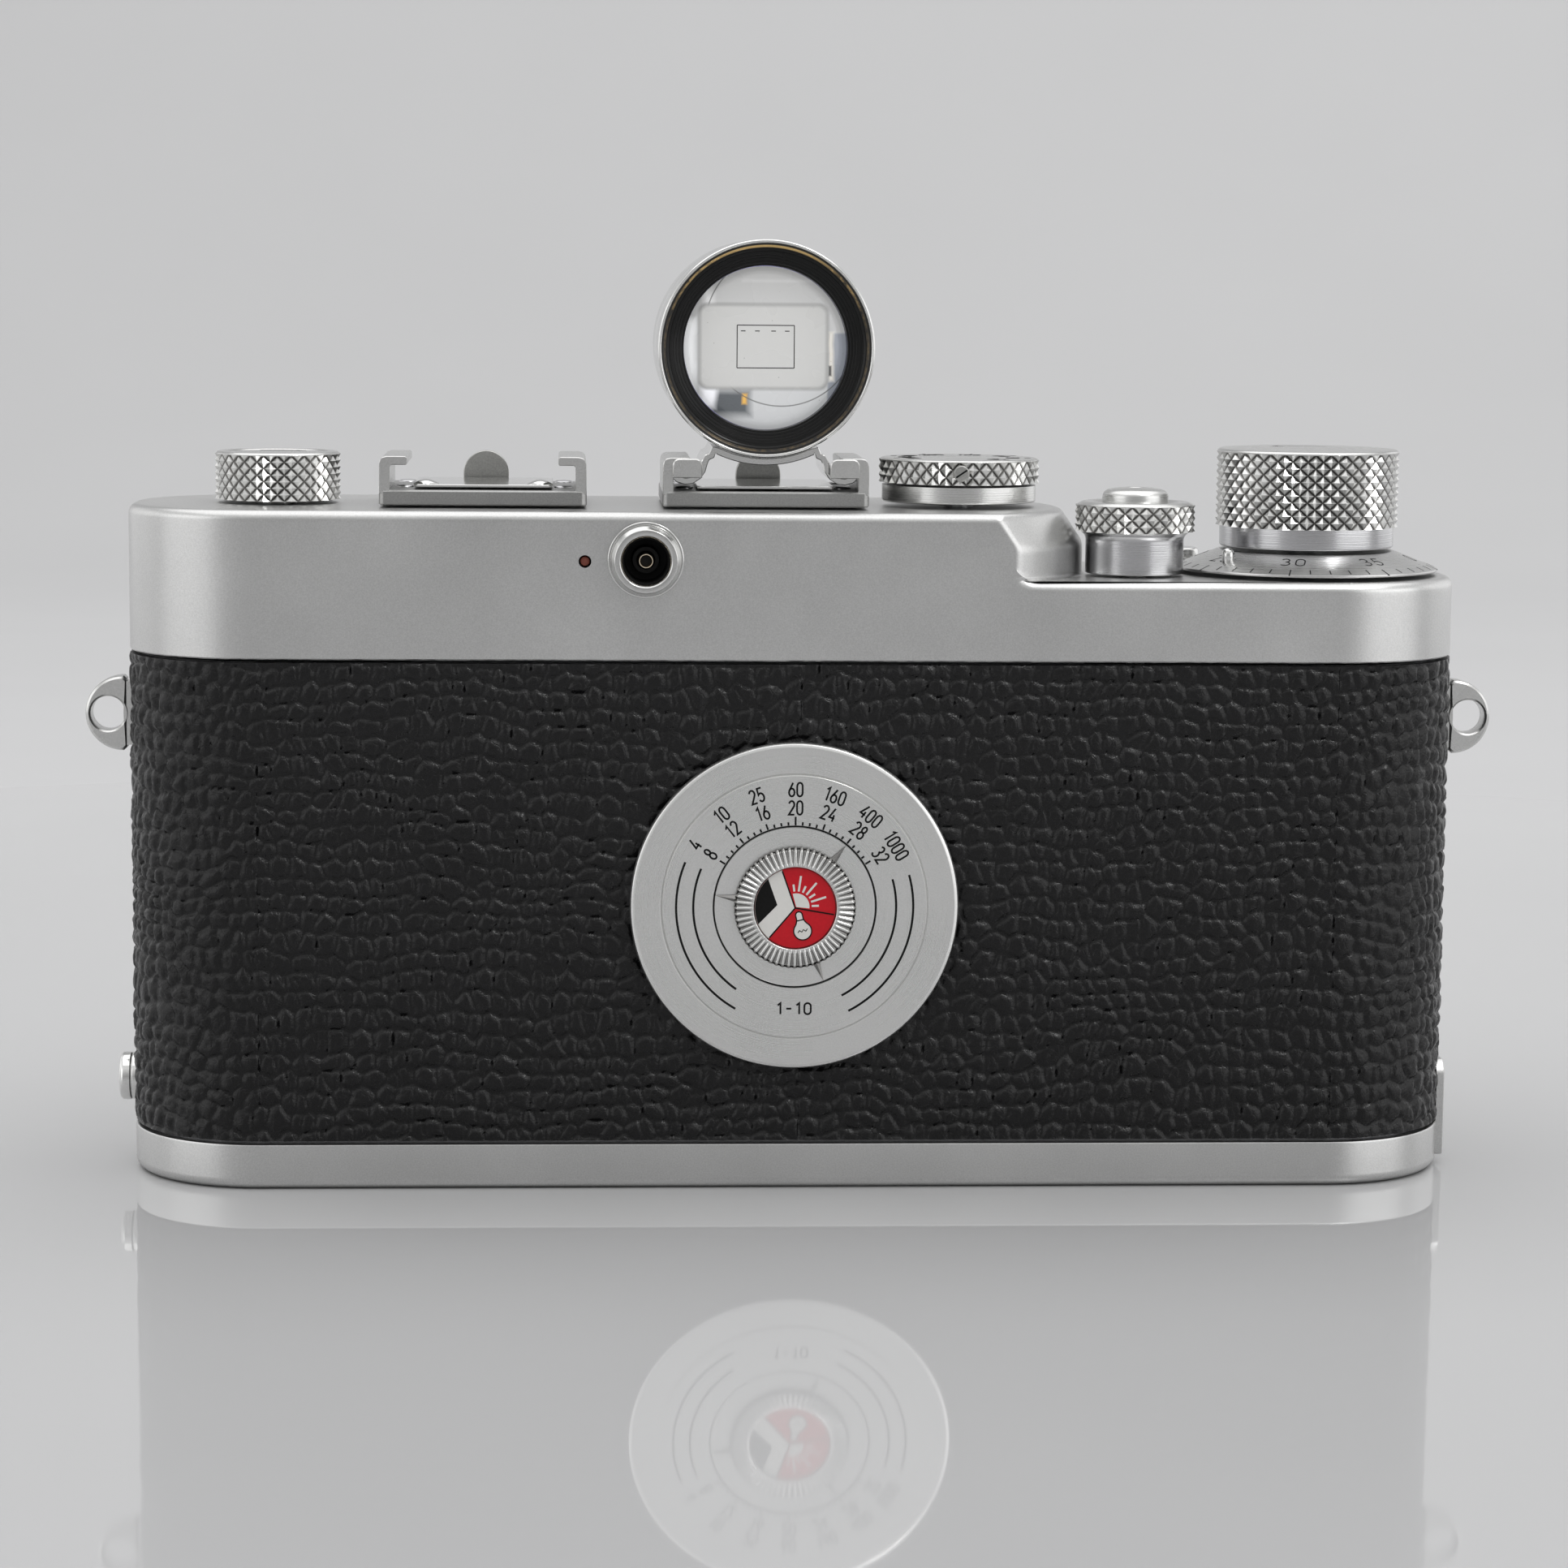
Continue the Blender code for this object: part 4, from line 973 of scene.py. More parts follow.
def build_fittings():
    build_lug("lug_left", -1, "strap_lug_left")
    build_lug("lug_right", 1, "strap_lug_right")
    turned("stud_left", "x", STUD, [(0, -68.1), (2.1, -68.1), (2.43, -67.8), (2.43, -67.0), (2.3, -66.9),
                                    (2.43, -66.8), (2.43, -65.8), (0, -65.8)],
           lathe("stud_chrome", "bright", "x", STUD), "camera", "side_stud", 48)
    turned("stud_right", "x", HOOK, [(0, 67.6), (1.4, 67.5), (2.2, 67.1), (2.2, 65.8), (0, 65.8)],
           lathe("hook_chrome", "bright", "x", HOOK), "camera", "hook_stud", 48)
    socket = lathe("socket_chrome", "satin", "y", SYNC, 0.2, 0.6, 0.2)
    turned("flash_socket", "y", SYNC, [
        (2.33, -12.4), (2.65, -12.4), (2.65, -14.7), (3.73, -14.7), (3.73, -15.15), (3.66, -15.25),
        (3.47, -15.25), (3.38, -15.15), (3.38, -16.75), (3.08, -17.25), (3.02, -17.3), (2.55, -17.3),
        (2.33, -17.05)],
        socket, "camera", "sync_socket", 96, 0.05)
    turned("flash_insulator", "y", SYNC, [
        (0, -12.5), (2.31, -12.5), (2.31, -16.8), (2.24, -16.85), (2.15, -16.5), (2.05, -13.3), (1.4, -13.3),
        (1.3, -14.9), (0.9, -14.9), (0.9, -13.6), (0, -13.6)], "matt_black", "camera", "sync_pin", 48, 0.05)
    turned("flash_pin", "y", SYNC, [
        (0, -13.2), (0.72, -13.2), (0.72, -16.28), (0.68, -16.36), (0.60, -16.36), (0.56, -16.28),
        (0.56, -13.8), (0, -13.8)], "brass_pale", "camera", None, 48, 0.03)
    turned("flash_pin_core", "y", SYNC, [(0, -13.9), (0.55, -13.9), (0.55, -15.6), (0, -15.6)], "matt_black",
           "camera", None, 32, 0.02)
    turned("index_dot", "y", INDEX, [(0, -13.0), (0.46, -13.0), (0.46, -14.1), (0.3, -14.2), (0, -14.22)],
           "rust", "camera", "index_screw", 24, 0.05)


# ---------------------------------------------------------------- accessory shoes and finder
def build_shoe(side, node_name, spring_name):
    cx = mid(node_name, 0, 1)[0]
    floor = soft([(cx - 10.17, -9.1), (cx - 9.75, -9.4), (cx + 9.75, -9.4), (cx + 10.17, -9.1),
                  (cx + 10.17, 8.8), (cx + 9.9, 9.0), (cx - 9.9, 9.0), (cx - 10.17, 8.8)], 0.15, 3, False)
    piece("shoe_floor_" + side, prism(floor, "z", 67.25, 68.75, 0.16), "milled", "camera", node_name)
    lip = [(10.15, 68.4), (10.15, 71.3), (10.05, 71.7), (9.8, 71.95), (9.4, 72.05), (7.55, 72.05),
           (7.4, 71.9), (7.4, 71.35), (7.5, 71.2), (8.9, 71.2), (9.1, 71.0), (9.1, 68.4)]
    shapes = [prism([(cx + s * x, z) for x, z in lip], "y", -9.33, 4.0, 0.07) for s in (-1, 1)]
    piece("shoe_body_" + side, join(*shapes), "satin", "camera", node_name)
    tongue = [(cx + 2.3, 68.5)] + arc(cx, 69.6, 2.3, 2.3, 0, 180, 20) + [(cx - 2.3, 68.5)]
    piece("shoe_stop_" + side, prism(tongue, "y", 7.9, 8.8, 0.08), "dark_steel", "camera")
    leaf = soft(rectangle(cx - 6.8, -8.2, cx + 6.8, 6.0), 0.6, 3, False)
    shapes = [prism(leaf, "z", 68.98, 69.25, 0.05)]
    if side == "left":
        for s in (-1, 1):
            ridge = []
            for k in range(13):
                w = math.sin(math.pi * k / 12)
                x, r = cx + s * 5.6 - 1.25 + 2.5 * k / 12, 0.12 + 0.5 * w
                ridge.append([(x, -6.9 + 1.3 * r * 1.6 * math.cos(a), 69.2 + r * 0.9 * math.sin(a))
                              for a in (math.pi * i / 10 for i in range(11))])
            shapes.append(loft(ridge))
    piece("shoe_leaf_" + side, join(*shapes), "bright", "camera", spring_name)
    for k, (x, y) in enumerate(((-7.9, -3.0), (7.9, -3.0), (-7.9, 6.6), (7.9, 6.6))):
        turned(f"shoe_screw_{side}_{k}", "z", (cx + x, y), [
            (0, 68.5), (0.95, 68.5), (0.95, 68.82), (0.75, 68.95), (0, 69.0)], "steel", "camera", None, 24)


def finder_image():
    """What the eyepiece shows, all painted: a pale soft-edged window and a painted reflection of a bright
    room in the glass, made to glow.
    """
    mat, nt, bsdf = blank("eyepiece_painted_view")
    coords, xyz = place(nt)
    x, z = (times(nt, minus(nt, xyz[k], c * MM), 1 / MM) for k, c in zip((0, 2), FINDER))
    wave = blotch(nt, coords, 260.0)
    bent = times(nt, minus(nt, wave, 0.5), 1.2)

    def past(value, middle, half):
        """How far a value lies beyond half a width from a middle."""
        return minus(nt, magnitude(nt, minus(nt, value, middle)), half)

    def window(cx, cz, hx, hz, edge, sway=0.0):
        swayed = plus(nt, x, times(nt, bent, sway))
        far = larger(nt, past(swayed, cx, hx), past(z, cz, hz))
        return ranged(nt, far, -edge, edge, 1.0, 0.0)

    def plate_window(hx, hz, edge, corner=0.9):
        """A window with rounded corners about the middle of the view."""
        sides = [larger(nt, past(value, middle, half - corner), 0.0)
                 for value, middle, half in ((x, -0.2, hx), (z, 0.15, hz))]
        return ranged(nt, distance(nt, *sides), corner - edge, corner + edge, 1.0, 0.0)

    def ring(cx, cz, radius, half, edge):
        far = distance(nt, minus(nt, x, cx), minus(nt, z, cz))
        return ranged(nt, past(far, radius, 0.0), half, half + edge, 1.0, 0.0)
    specks = node(nt, "TexVoronoi", {}, Vector=coords, Scale=900.0).outputs[0]
    # painted view and painted reflection: the layers below are patches of painted light and shade (bright
    # streaks, a white crescent, a grey panel, an orange lamp glint, dark patches, the window's dark frame);
    # the last layer is dust specks
    seen = tinted(nt, ranged(nt, z, -7.0, 7.0, 0.0, 1.0), (0.58, 0.59, 0.60), (0.50, 0.50, 0.495))
    for mask, color, strength in (
            (window(-5.6, 5.6, 0.35, 1.6, 0.35, 1.5), (0.80, 0.80, 0.80), 1.0),
            (window(2.2, 6.6, 4.6, 0.12, 0.15, 1.0), (0.62, 0.62, 0.62), 0.6),
            (window(-8.2, -1.6, 1.15, 4.4, 0.35, 1.0), (0.90, 0.91, 0.92), 1.0),
            (window(8.2, -2.6, 2.0, 4.1, 0.12), (0.30, 0.32, 0.36), 1.0),
            (window(6.5, -0.8, 0.25, 2.4, 0.2, 0.6), (0.75, 0.72, 0.66), 1.0),
            (window(6.4, -2.2, 0.14, 0.5, 0.1, 0.6), (0.05, 0.05, 0.05), 1.0),
            (window(-3.4, -5.4, 1.9, 1.2, 0.45, 0.8), (0.10, 0.11, 0.12), 1.0),
            (window(-2.0, -5.0, 0.22, 0.5, 0.15, 0.6), (0.80, 0.46, 0.10), 1.0),
            (window(-5.6, -4.9, 0.7, 1.0, 0.35, 0.8), (0.95, 0.96, 1.0), 1.0),
            (ring(1.6, 1.9, 7.6, 0.03, 0.06), (0.12, 0.12, 0.12), 0.8),
            (plate_window(6.45, 4.25, 0.16), (0.26, 0.26, 0.255), 0.85),
            (plate_window(6.22, 4.02, 0.22), (0.545, 0.545, 0.535), 1.0),
            (ranged(nt, specks, 0.035, 0.07, 1.0, 0.0), (0.20, 0.20, 0.19), 0.5)):
        seen = mixed(nt, times(nt, mask, strength), seen, (*color, 1))
    # the painted view also glows by emission, though the glass is no lamp
    dress(bsdf, Base_Color=seen, Emission_Color=seen, Emission_Strength=0.5, Coat_Weight=0.6,
          Roughness=ranged(nt, wave, 0.3, 0.7, 0.25, 0.3), Coat_Roughness=0.03)
    return mat


def worn_rim():
    """Black lacquer rubbed through to brass in a thin line, mostly along the top of the eyepiece."""
    mat, nt, bsdf = blank("worn_black_rim")
    coords, xyz = place(nt)
    rise = minus(nt, xyz[2], FINDER[1] * MM)
    line_r = 10.0 * MM
    off = magnitude(nt, minus(nt, from_axis(nt, xyz, (0, 2), FINDER), line_r))
    line = ranged(nt, off, 0.05 * MM, 0.15 * MM, 1.0, 0.0)
    patchy = ranged(nt, blotch(nt, coords, 1500.0, 4.0, 0.7), 0.40, 0.60, 0.0, 1.0)
    spots = times(nt, patchy, ranged(nt, rise, 2.5 * MM, 8.5 * MM, 0.12, 1.0))
    top = ranged(nt, rise, 6.5 * MM, 9.6 * MM, 0.0, 1.0)
    rub = times(nt, line, larger(nt, spots, top))
    dress(bsdf, Base_Color=tinted(nt, rub, (0.030, 0.029, 0.028), (0.86, 0.60, 0.26)),
          Metallic=ranged(nt, rub, 0.0, 1.0, 0.55, 1.0), Roughness=ranged(nt, rub, 0.0, 1.0, 0.30, 0.34))
    relieve(nt, bsdf, rub, 0.3, 0.00004)
    return mat


def build_foot(cx, cz):
    side = [(9.3, 70.9), (9.15, 70.35), (8.6, 69.85), (7.9, 69.65), (7.2, 69.75), (6.6, 70.15), (6.2, 70.75),
            (6.0, 71.5), (5.75, 72.0), (5.3, 72.2)]
    path = [(cx - x, z) for x, z in side]
    path += arc(cx, cz, 11.15, 11.15, -117, -63, 24)
    path += [(cx + x, z) for x, z in side[::-1]]
    left, right = [], []
    for k, (x, z) in enumerate(path):
        (x0, z0), (x1, z1) = path[max(k - 1, 0)], path[min(k + 1, len(path) - 1)]
        half_thick = 0.33 / math.hypot(x1 - x0, z1 - z0)
        nx, nz = (z0 - z1) * half_thick, (x1 - x0) * half_thick
        left.append((x + nx, z + nz))
        right.append((x - nx, z - nz))
    piece("finder_strap", prism(left + right[::-1], "y", -7.2, 6.0, 0.08), "bright", "finder", "finder_foot")
    tabs, rolls = [], []
    for s in (-1, 1):
        tab = arc(6.95, 71.35, 0.65, 0.65, 180, 90, 6) + arc(8.55, 71.35, 0.65, 0.65, 90, 0, 6)
        tab = [(cx + s * x, z) for x, z in tab + [(9.2, 70.12), (6.3, 70.12)]]
        arm = [(cx + s * x, z) for x, z in ((7.5, 70.25), (7.5, 70.8), (9.0, 70.8), (9.0, 70.25))]
        tabs += [prism(tab, "y", -9.95, -9.5, 0.12), prism(arm, "y", -9.6, -6.9, 0.05)]
        roll = [(cx + s * x, z) for x, z in arc(7.75, 70.7, 1.25, 0.78, 0, -180, 14)]
        rolls.append(prism(roll, "y", -7.12, 5.9, 0.05))
    piece("finder_tabs", join(*tabs), "satin", "finder", "finder_foot")
    piece("finder_rolls", join(*rolls), "black", "finder", "finder_foot")


def build_finder():
    cx, cz = FINDER
    build_foot(cx, cz)
    turned("finder_tube", "y", FINDER, [
        (10.3, -6.5), (10.3, -8.4), (10.42, -8.55), (10.56, -8.55), (10.67, -8.4), (10.7, -8.1), (10.7, 3.0),
        (10.55, 3.15), (10.55, 3.6), (10.7, 3.75), (10.7, 14.5), (10.4, 15.6), (10.0, 16.45), (9.3, 16.5),
        (9.3, 11.5), (9.8, 11.0), (9.8, -6.5)],
        lathe("finder_chrome", "bright", "y", FINDER, 0.12, 0.4, 0.2), "finder", "finder_barrel", 128, 0.05)
    turned("finder_eye_rim", "y", FINDER, [
        (9.82, -7.6), (9.86, -8.05), (10.05, -8.3), (10.24, -8.38), (10.32, -8.3), (10.32, -7.6)],
        worn_rim(), "finder", "finder_eye_ring", 128, 0.04)
    turned("finder_eyepiece", "y", FINDER, [
        (9.84, -8.0), (9.84, -3.0), (8.1, -3.0), (8.1, -6.3), (8.2, -6.42), (8.3, -6.42), (8.36, -6.66),
        (8.58, -6.7), (8.64, -6.95), (8.86, -7.0), (8.92, -7.25), (9.14, -7.3), (9.2, -7.55), (9.5, -7.6),
        (9.6, -7.85)],
        "black", "finder", "finder_eye_ring", 128, 0.03)
    lens_y, bulge = -5.0, -1.15
    lens = [(0, -3.4), (8.05, -3.4), (8.05, lens_y)] + dome(7.9, lens_y, bulge, 12) + [(0, lens_y + bulge)]
    turned("finder_eye_lens", "y", FINDER, lens, finder_image(), "finder", "finder_eye_glass", 96, 0.02)
    turned("finder_front_lens", "y", FINDER, [
        (0, 12.2), (9.0, 12.2), (9.0, 14.0), (7.5, 14.45), (6.0, 14.78), (4.5, 14.98), (3.0, 15.12),
        (1.5, 15.18), (0, 15.2)], "glass", "finder", "finder_front_glass", 96, 0.02)

    def surface(u, v, lift):
        steep = math.sqrt(max(1 - (u * u + v * v) / 62.4, 0))
        return (cx + u, lens_y + bulge * steep - lift, cz + v)

    def run(a, b, n=10):
        return [(a[0] + (b[0] - a[0]) * k / n, a[1] + (b[1] - a[1]) * k / n) for k in range(n + 1)]
    frame_corners = rectangle(-2.82, -1.94, 2.83, 2.25)
    lines = [run(a, b) for a, b in zip(frame_corners, frame_corners[1:] + frame_corners[:1])]
    dashes = [run((x, 1.69), (x + 0.45, 1.69), 2) for x in (-2.45, -1.05, 0.55, 1.9)]
    piece("finder_frame_lines", inlay(lines + dashes, 0.085, surface, 0.015), "ink", "finder")


# ---------------------------------------------------------------- knobs and dials
def cone_face(centre):
    """The sloped face of the counter dial: its rim's radius and height, and how steeply it rises inwards."""
    rim_r, rim_z, slope = 13.25, 61.05, 1.7 / 4.35

    def to3d(u, v, lift):
        return (centre[0] + u, centre[1] + v, rim_z + (rim_r - math.hypot(u, v)) * slope + lift)
    return to3d


def build_wind():
    knurled("wind_grip", WIND, [
        (9.08, 72.6), (9.12, 72.72), (8.95, 72.9), (8.7, 72.95), (0, 72.95), (0, 66.3), (2.5, 66.3),
        (2.5, 63.15), (8.55, 63.15), (8.7, 63.3), (8.7, 65.25)],
        (65.2, 72.62), 36, 1.32, 0.44, 9.2, "wind", "wind_knob")
    collar = lathe("wind_collar_metal", "steel", "z", WIND, 0.22, 0.8, 0.55, 0.3)
    turned("wind_collar_band", "z", WIND, [
        (8.2, 63.1), (8.62, 63.1), (8.76, 63.25), (8.76, 65.2), (8.2, 65.2)],
        collar, "wind", None, 128, 0.06)
    face = lathe("wind_top_metal", "cover", "z", WIND, 0.28, 0.8, 0.3, 0.3)
    turned("wind_cap", "z", WIND, [(0, 72.5), (8.55, 72.5), (8.55, 72.93), (0, 72.95)],
           face, "wind", None, 96, 0.05)
    arrow = [arc(0, 0, 5.6, 5.6, 60, 120, 12), [(-2.1, 5.75), (-2.8, 4.85), (-1.75, 4.6)]]
    piece("wind_arrow", inlay(arrow, 0.32, deck_face(WIND, 72.95), 0.0), "ink", "wind")
    dial_metal = lathe("counter_metal", "cover", "z", WIND, 0.30, 0.6, 0.3, 0.25)
    dial = [(2.5, 60.75), (13.1, 60.75), (13.25, 60.85), (13.25, 61.05), (8.9, 62.75), (8.6, 62.8),
            (2.5, 62.8)]
    turned("counter_ring", "z", WIND, dial, dial_metal, "counter", "counter_dial", 128, 0.06)
    a = math.radians(-145.0)
    pin = (WIND[0] + 10.9 * math.cos(a), WIND[1] + 10.9 * math.sin(a))
    turned("counter_pin", "z", pin, [
        (0, 61.6), (0.62, 61.6), (0.62, 62.75), (0.5, 63.05), (0.28, 63.22), (0, 63.27)],
        "bright", "counter", None, 32, 0.05)
    marks = []
    for value in range(40):
        ang = -107.0 + (value - 30) * 9.0
        long = value % 5 == 0
        marks += around([[(0, 0.75 if long else 0.35), (0, -0.45)]], ang, 12.6)
        if long:
            upright = [[(-x, -y) for x, y in st] for st in figures(str(value), 1.35, 1.3, 0.35)]
            marks += around(upright, ang, 10.5)
    piece("counter_marks", inlay(marks, 0.13, cone_face(WIND)), "ink", "counter")


def build_release():
    stem = lathe("release_stem_metal", "steel", "z", RELEASE, 0.20, 0.8, 0.5, 0.3)
    turned("release_stem", "z", RELEASE, [
        (2.2, 60.65), (4.9, 60.65), (4.9, 64.0), (4.92, 64.15), (5.05, 64.45), (5.35, 64.7), (5.5, 65.0),
        (2.2, 65.0)],
        stem, "camera", None, 96, 0.08)
    knurled("release_ring", RELEASE, [
        (5.78, 67.42), (5.8, 67.5), (5.3, 67.78), (4.4, 67.8), (3.9, 67.6), (3.65, 67.4), (3.65, 64.6),
        (5.2, 64.6)],
        (64.85, 67.45), 25, 1.3, 0.36, 6.0, "camera", "release_collar")
    button = [(0, 59.7), (1.6, 59.7), (1.6, 66.4), (3.3, 66.4), (3.3, 68.2)]
    button += [(2.3 + cos, 68.3 + 0.75 * sin) for sin, cos in quarter(6)[1:-1]]
    button += [(1.9, 69.12), (0.95, 69.2), (0.75, 69.1), (0.7, 68.3), (0, 68.3)]
    cap = lathe("release_button_metal", "satin", "z", RELEASE, 0.3, 0.5, 0.2)
    turned("release_cap", "z", RELEASE, button, cap, "release", "release_button", 96, 0.08)


def build_speed():
    collar = lathe("speed_collar_metal", "satin", "z", SPEED, 0.24, 0.8, 0.5, 0.3)
    turned("speed_base", "z", SPEED, [(1.8, 67.45), (7.6, 67.45), (7.75, 67.6), (7.75, 69.15), (1.8, 69.15)],
           collar, "speed_lift", "speed_collar", 96, 0.06)
    knurled("speed_grip", SPEED, [
        (7.95, 71.62), (7.98, 71.7), (7.75, 71.85), (0, 71.85), (0, 69.3), (7.5, 69.3)],
        (69.4, 71.65), 36, 1.5, 0.40, 8.1, "speed_dial", "speed_dial")
    turned("speed_top", "z", SPEED, [
        (0, 71.5), (7.55, 71.5), (7.55, 71.84), (2.2, 71.86), (1.9, 71.7), (0, 71.7)],
        lathe("speed_top_metal", "cover", "z", SPEED, 0.28, 0.7, 0.3), "speed_dial", None, 96, 0.05)
    angles = [200 - 42 * k for k in range(7)]
    marks = dial_figures("1000 500 200 100 60 30 20", angles, 5.4, 1.25, 1.0, 0.22)
    marks += ticks(angles, 6.9, 0.3, -0.3)
    piece("speed_marks", inlay(marks, 0.15, deck_face(SPEED, 71.86)), "ink", "speed_dial")
    spot = mid("dial_screw", 0, 2)
    turned("speed_screw", "y", spot, [(0, -8.25), (0.72, -8.25), (0.8, -8.15), (0.8, -7.2), (0, -7.2)],
           "dark_steel", "speed_dial", "dial_screw", 32, 0.05)
    # painted shade: the screw's slot is a thin black bar on the head, standing in for the shade in the groove
    slot = [(spot[0] - 0.6, spot[1] - 0.32), (spot[0] + 0.5, spot[1] + 0.42), (spot[0] + 0.6, spot[1] + 0.28),
            (spot[0] - 0.5, spot[1] - 0.46)]
    piece("speed_screw_slot_shade", prism(slot, "y", -8.285, -8.2, 0.01), "ink", "speed_dial")


def build_rewind():
    knurled("rewind_grip", REWIND, [
        (6.12, 71.8), (6.15, 71.9), (5.9, 72.1), (5.0, 72.1), (4.85, 71.95), (0, 71.95), (0, 51.4),
        (1.95, 51.4), (1.95, 67.25), (5.7, 67.25)],
        (67.35, 71.85), 27, 1.3, 0.38, 6.25, "rewind", "rewind_knob")
    turned("rewind_top", "z", REWIND, [(0, 71.7), (4.8, 71.7), (4.8, 71.99), (0, 72.0)],
           lathe("rewind_top_metal", "cover", "z", REWIND, 0.28, 0.7, 0.3), "rewind", None, 64, 0.04)
    arrow = [arc(0, 0, 3.4, 3.4, 55, 125, 10), [(2.6, 3.0), (1.95, 2.75), (1.75, 3.5)]]
    piece("rewind_arrow", inlay(arrow, 0.26, deck_face(REWIND, 72.0)), "ink", "rewind")


def sector(a0, a1, r, n=24, apex=(0, 0)):
    return [apex] + arc(0, 0, r, r, a0, a1, n)


def memo_scale():
    """Film speeds, a row of ticks and the arcs beside them, on the fixed disc."""
    face = plate_face(MEMO, -16.35)
    marks, lines = [], []
    angles = (147.8, 128.6, 109.2, 90.0, 70.6, 50.6, 31.6)
    marks += dial_figures("4 10 25 60 160 400 1000", angles, 11.6, 1.34, 0.80, 0.24)
    marks += dial_figures("8 12 16 20 24 28 32", angles, 9.8, 1.34, 0.80, 0.24)
    for k in range(25):
        length = 0.85 if k == 12 else (0.6 if k % 4 == 0 else 0.34)
        marks += ticks([148.2 - 4.85 * k], 8.08, 0, length)
    for a0, a1, r in ((157.6, 240.3, 11.63), (157.6, 235.1, 9.95), (15.9, -62.6, 11.63), (16.1, -62.0, 9.95)):
        lines.append(arc(0, 0, r, r, a0, a1, 40))
    piece("memo_lines", inlay(lines, 0.22, face), "ink", "camera")
    marks += [[(x, y - 10.1) for x, y in s] for s in figures("1-10", 1.1, 1.15, 0.3)]
    piece("memo_marks", inlay(marks, 0.185, face), "ink", "camera")
    circle = arc(0, 0, 7.96, 7.96, 0, 360, 120)
    piece("memo_circle", inlay([circle], 0.09, plate_face(MEMO, -16.22)), "ink", "camera")


def memo_ring():
    """The fluted ring that turns, with three pointers and a red middle."""
    flutes = 60

    def serrated(theta, r, h):
        if r < 4.35:
            return np.full(len(theta), r)
        return r - (0.10 if r > 5.7 else 0.0) * (0.5 - 0.5 * np.cos(flutes * theta))
    ring = revolved("y", MEMO, soft([(4.0, -16.55), (6.0, -16.55), (6.0, -16.95), (5.7, -17.25), (4.5, -17.3),
                                     (4.1, -17.25), (4.0, -17.05)], 0.06), 600, serrated)
    verts = np.array(ring[0])
    dx, dz = verts[:, 0] - MEMO[0], verts[:, 2] - MEMO[1]
    r, th = np.hypot(dx, dz), np.arctan2(dz, dx)
    high_face = (verts[:, 1] < -16.9) & (r > 4.3)
    verts[high_face, 1] += 0.2 * (0.5 - 0.5 * np.cos(flutes * th[high_face]))
    shapes = [(verts, ring[1])]
    for ang in (51.0, 171.5, -68.5):
        tri = around([[(-0.36, 5.85), (0.36, 5.85), (0, 7.9)]], ang, 0)[0]
        foot_y, top_y = -16.5, -16.95
        base = [(MEMO[0] + x, foot_y, MEMO[1] + z) for x, z in tri]
        mid_x, mid_z = sum(p[0] for p in tri[:2]) / 2, sum(p[1] for p in tri[:2]) / 2
        top = (MEMO[0] + mid_x, top_y, MEMO[1] + mid_z)
        shapes.append((base + [top], [(0, 1, 2), (0, 1, 3), (1, 2, 3), (2, 0, 3)]))
    piece("memo_ring", join(*shapes), fluted_metal(), "memo", "memo_dial", sharp=50, level=False)
    turned("memo_centre", "y", MEMO, [(0, -16.6), (3.97, -16.6), (3.97, -16.92), (0, -16.95)], "red", "memo",
           "memo_insert", 96, 0.03)


def memo_print():
    """The signs on the red middle: a sun, a bulb on white, and dividing lines."""
    art = plate_face(MEMO, -16.95)
    white = [patch(sector(109.5, 229.5, 3.95), art, 0.010)]
    white.append(patch(arc(0.1, 0.15, 1.3, 1.3, -8, 106, 20) + [(0.1, 0.1)], art, 0.012))
    rays = []
    for k in range(7):
        a, reach = math.radians(98 - 16 * k), 3.05 if k % 2 else 2.2
        rays.append([(0.12 + 1.5 * math.cos(a), 0.15 + 1.5 * math.sin(a)),
                     (0.12 + reach * math.cos(a), 0.15 + reach * math.sin(a))])
    white.append(inlay(rays, 0.2, art))
    lean = math.radians(13.5)

    def bulb_point(x, y):
        u, v = x * math.cos(lean) - y * math.sin(lean), x * math.sin(lean) + y * math.cos(lean)
        return (0.3 + u, -0.38 + v)
    bulb = [bulb_point(x, y) for x, y in
            arc(0, -0.33, 0.33, 0.33, 180, 0, 8) + [(0.33, -0.8), (0.45, -1.1)] +
            arc(0, -1.95, 0.88, 0.88, 50, -230, 24) + [(-0.45, -1.1), (-0.33, -0.8)]]
    white.append(patch(bulb, art, 0.014))
    piece("memo_white_print", join(*white), "white", "memo")
    black = [patch(sector(132.8, 204.0, 3.93, 20, (-1.75, 0.3)), art, 0.018)]
    lines = [sector(t, t, 3.86, 1)[:2] for t in (109.5, -9.7, 229.5)]
    black.append(inlay(lines, 0.14, art, 0.020))
    neck = [bulb_point(-0.33, -0.85), bulb_point(0.33, -0.85)]
    black.append(inlay([bulb + [bulb[0]], neck], 0.12, art, 0.022))
    wire = [bulb_point(-0.5 + 0.2 * k, -1.95 + (0.12 if k % 2 else -0.08)) for k in range(6)]
    black.append(inlay([wire], 0.08, art, 0.022))
    piece("memo_black_print", join(*black), "ink", "memo")


def build_memo():
    face_metal = lathe("memo_metal", "bright", "y", MEMO, 0.30, 0.25, 0.1, 0.22)
    turned("memo_plate", "y", MEMO, [
        (0, -15.0), (15.9, -15.0), (16.15, -15.25), (16.15, -15.8), (16.0, -16.05), (15.7, -16.15),
        (13.2, -16.15), (13.05, -16.05), (12.95, -16.35), (8.06, -16.35), (8.02, -16.2), (7.9, -16.2),
        (7.84, -16.34), (0, -16.33)],
        face_metal, "camera", "memo_base", 160, 0.05)
    memo_scale()
    memo_ring()
    memo_print()


# ---------------------------------------------------------------- front of the camera
def scallop(count, r_min, depth):
    def relief(theta, r, h):
        if r < r_min:
            return np.full(len(theta), r)
        return r - depth * np.clip(np.cos(count * theta) * 1.6, 0, 1)
    return relief


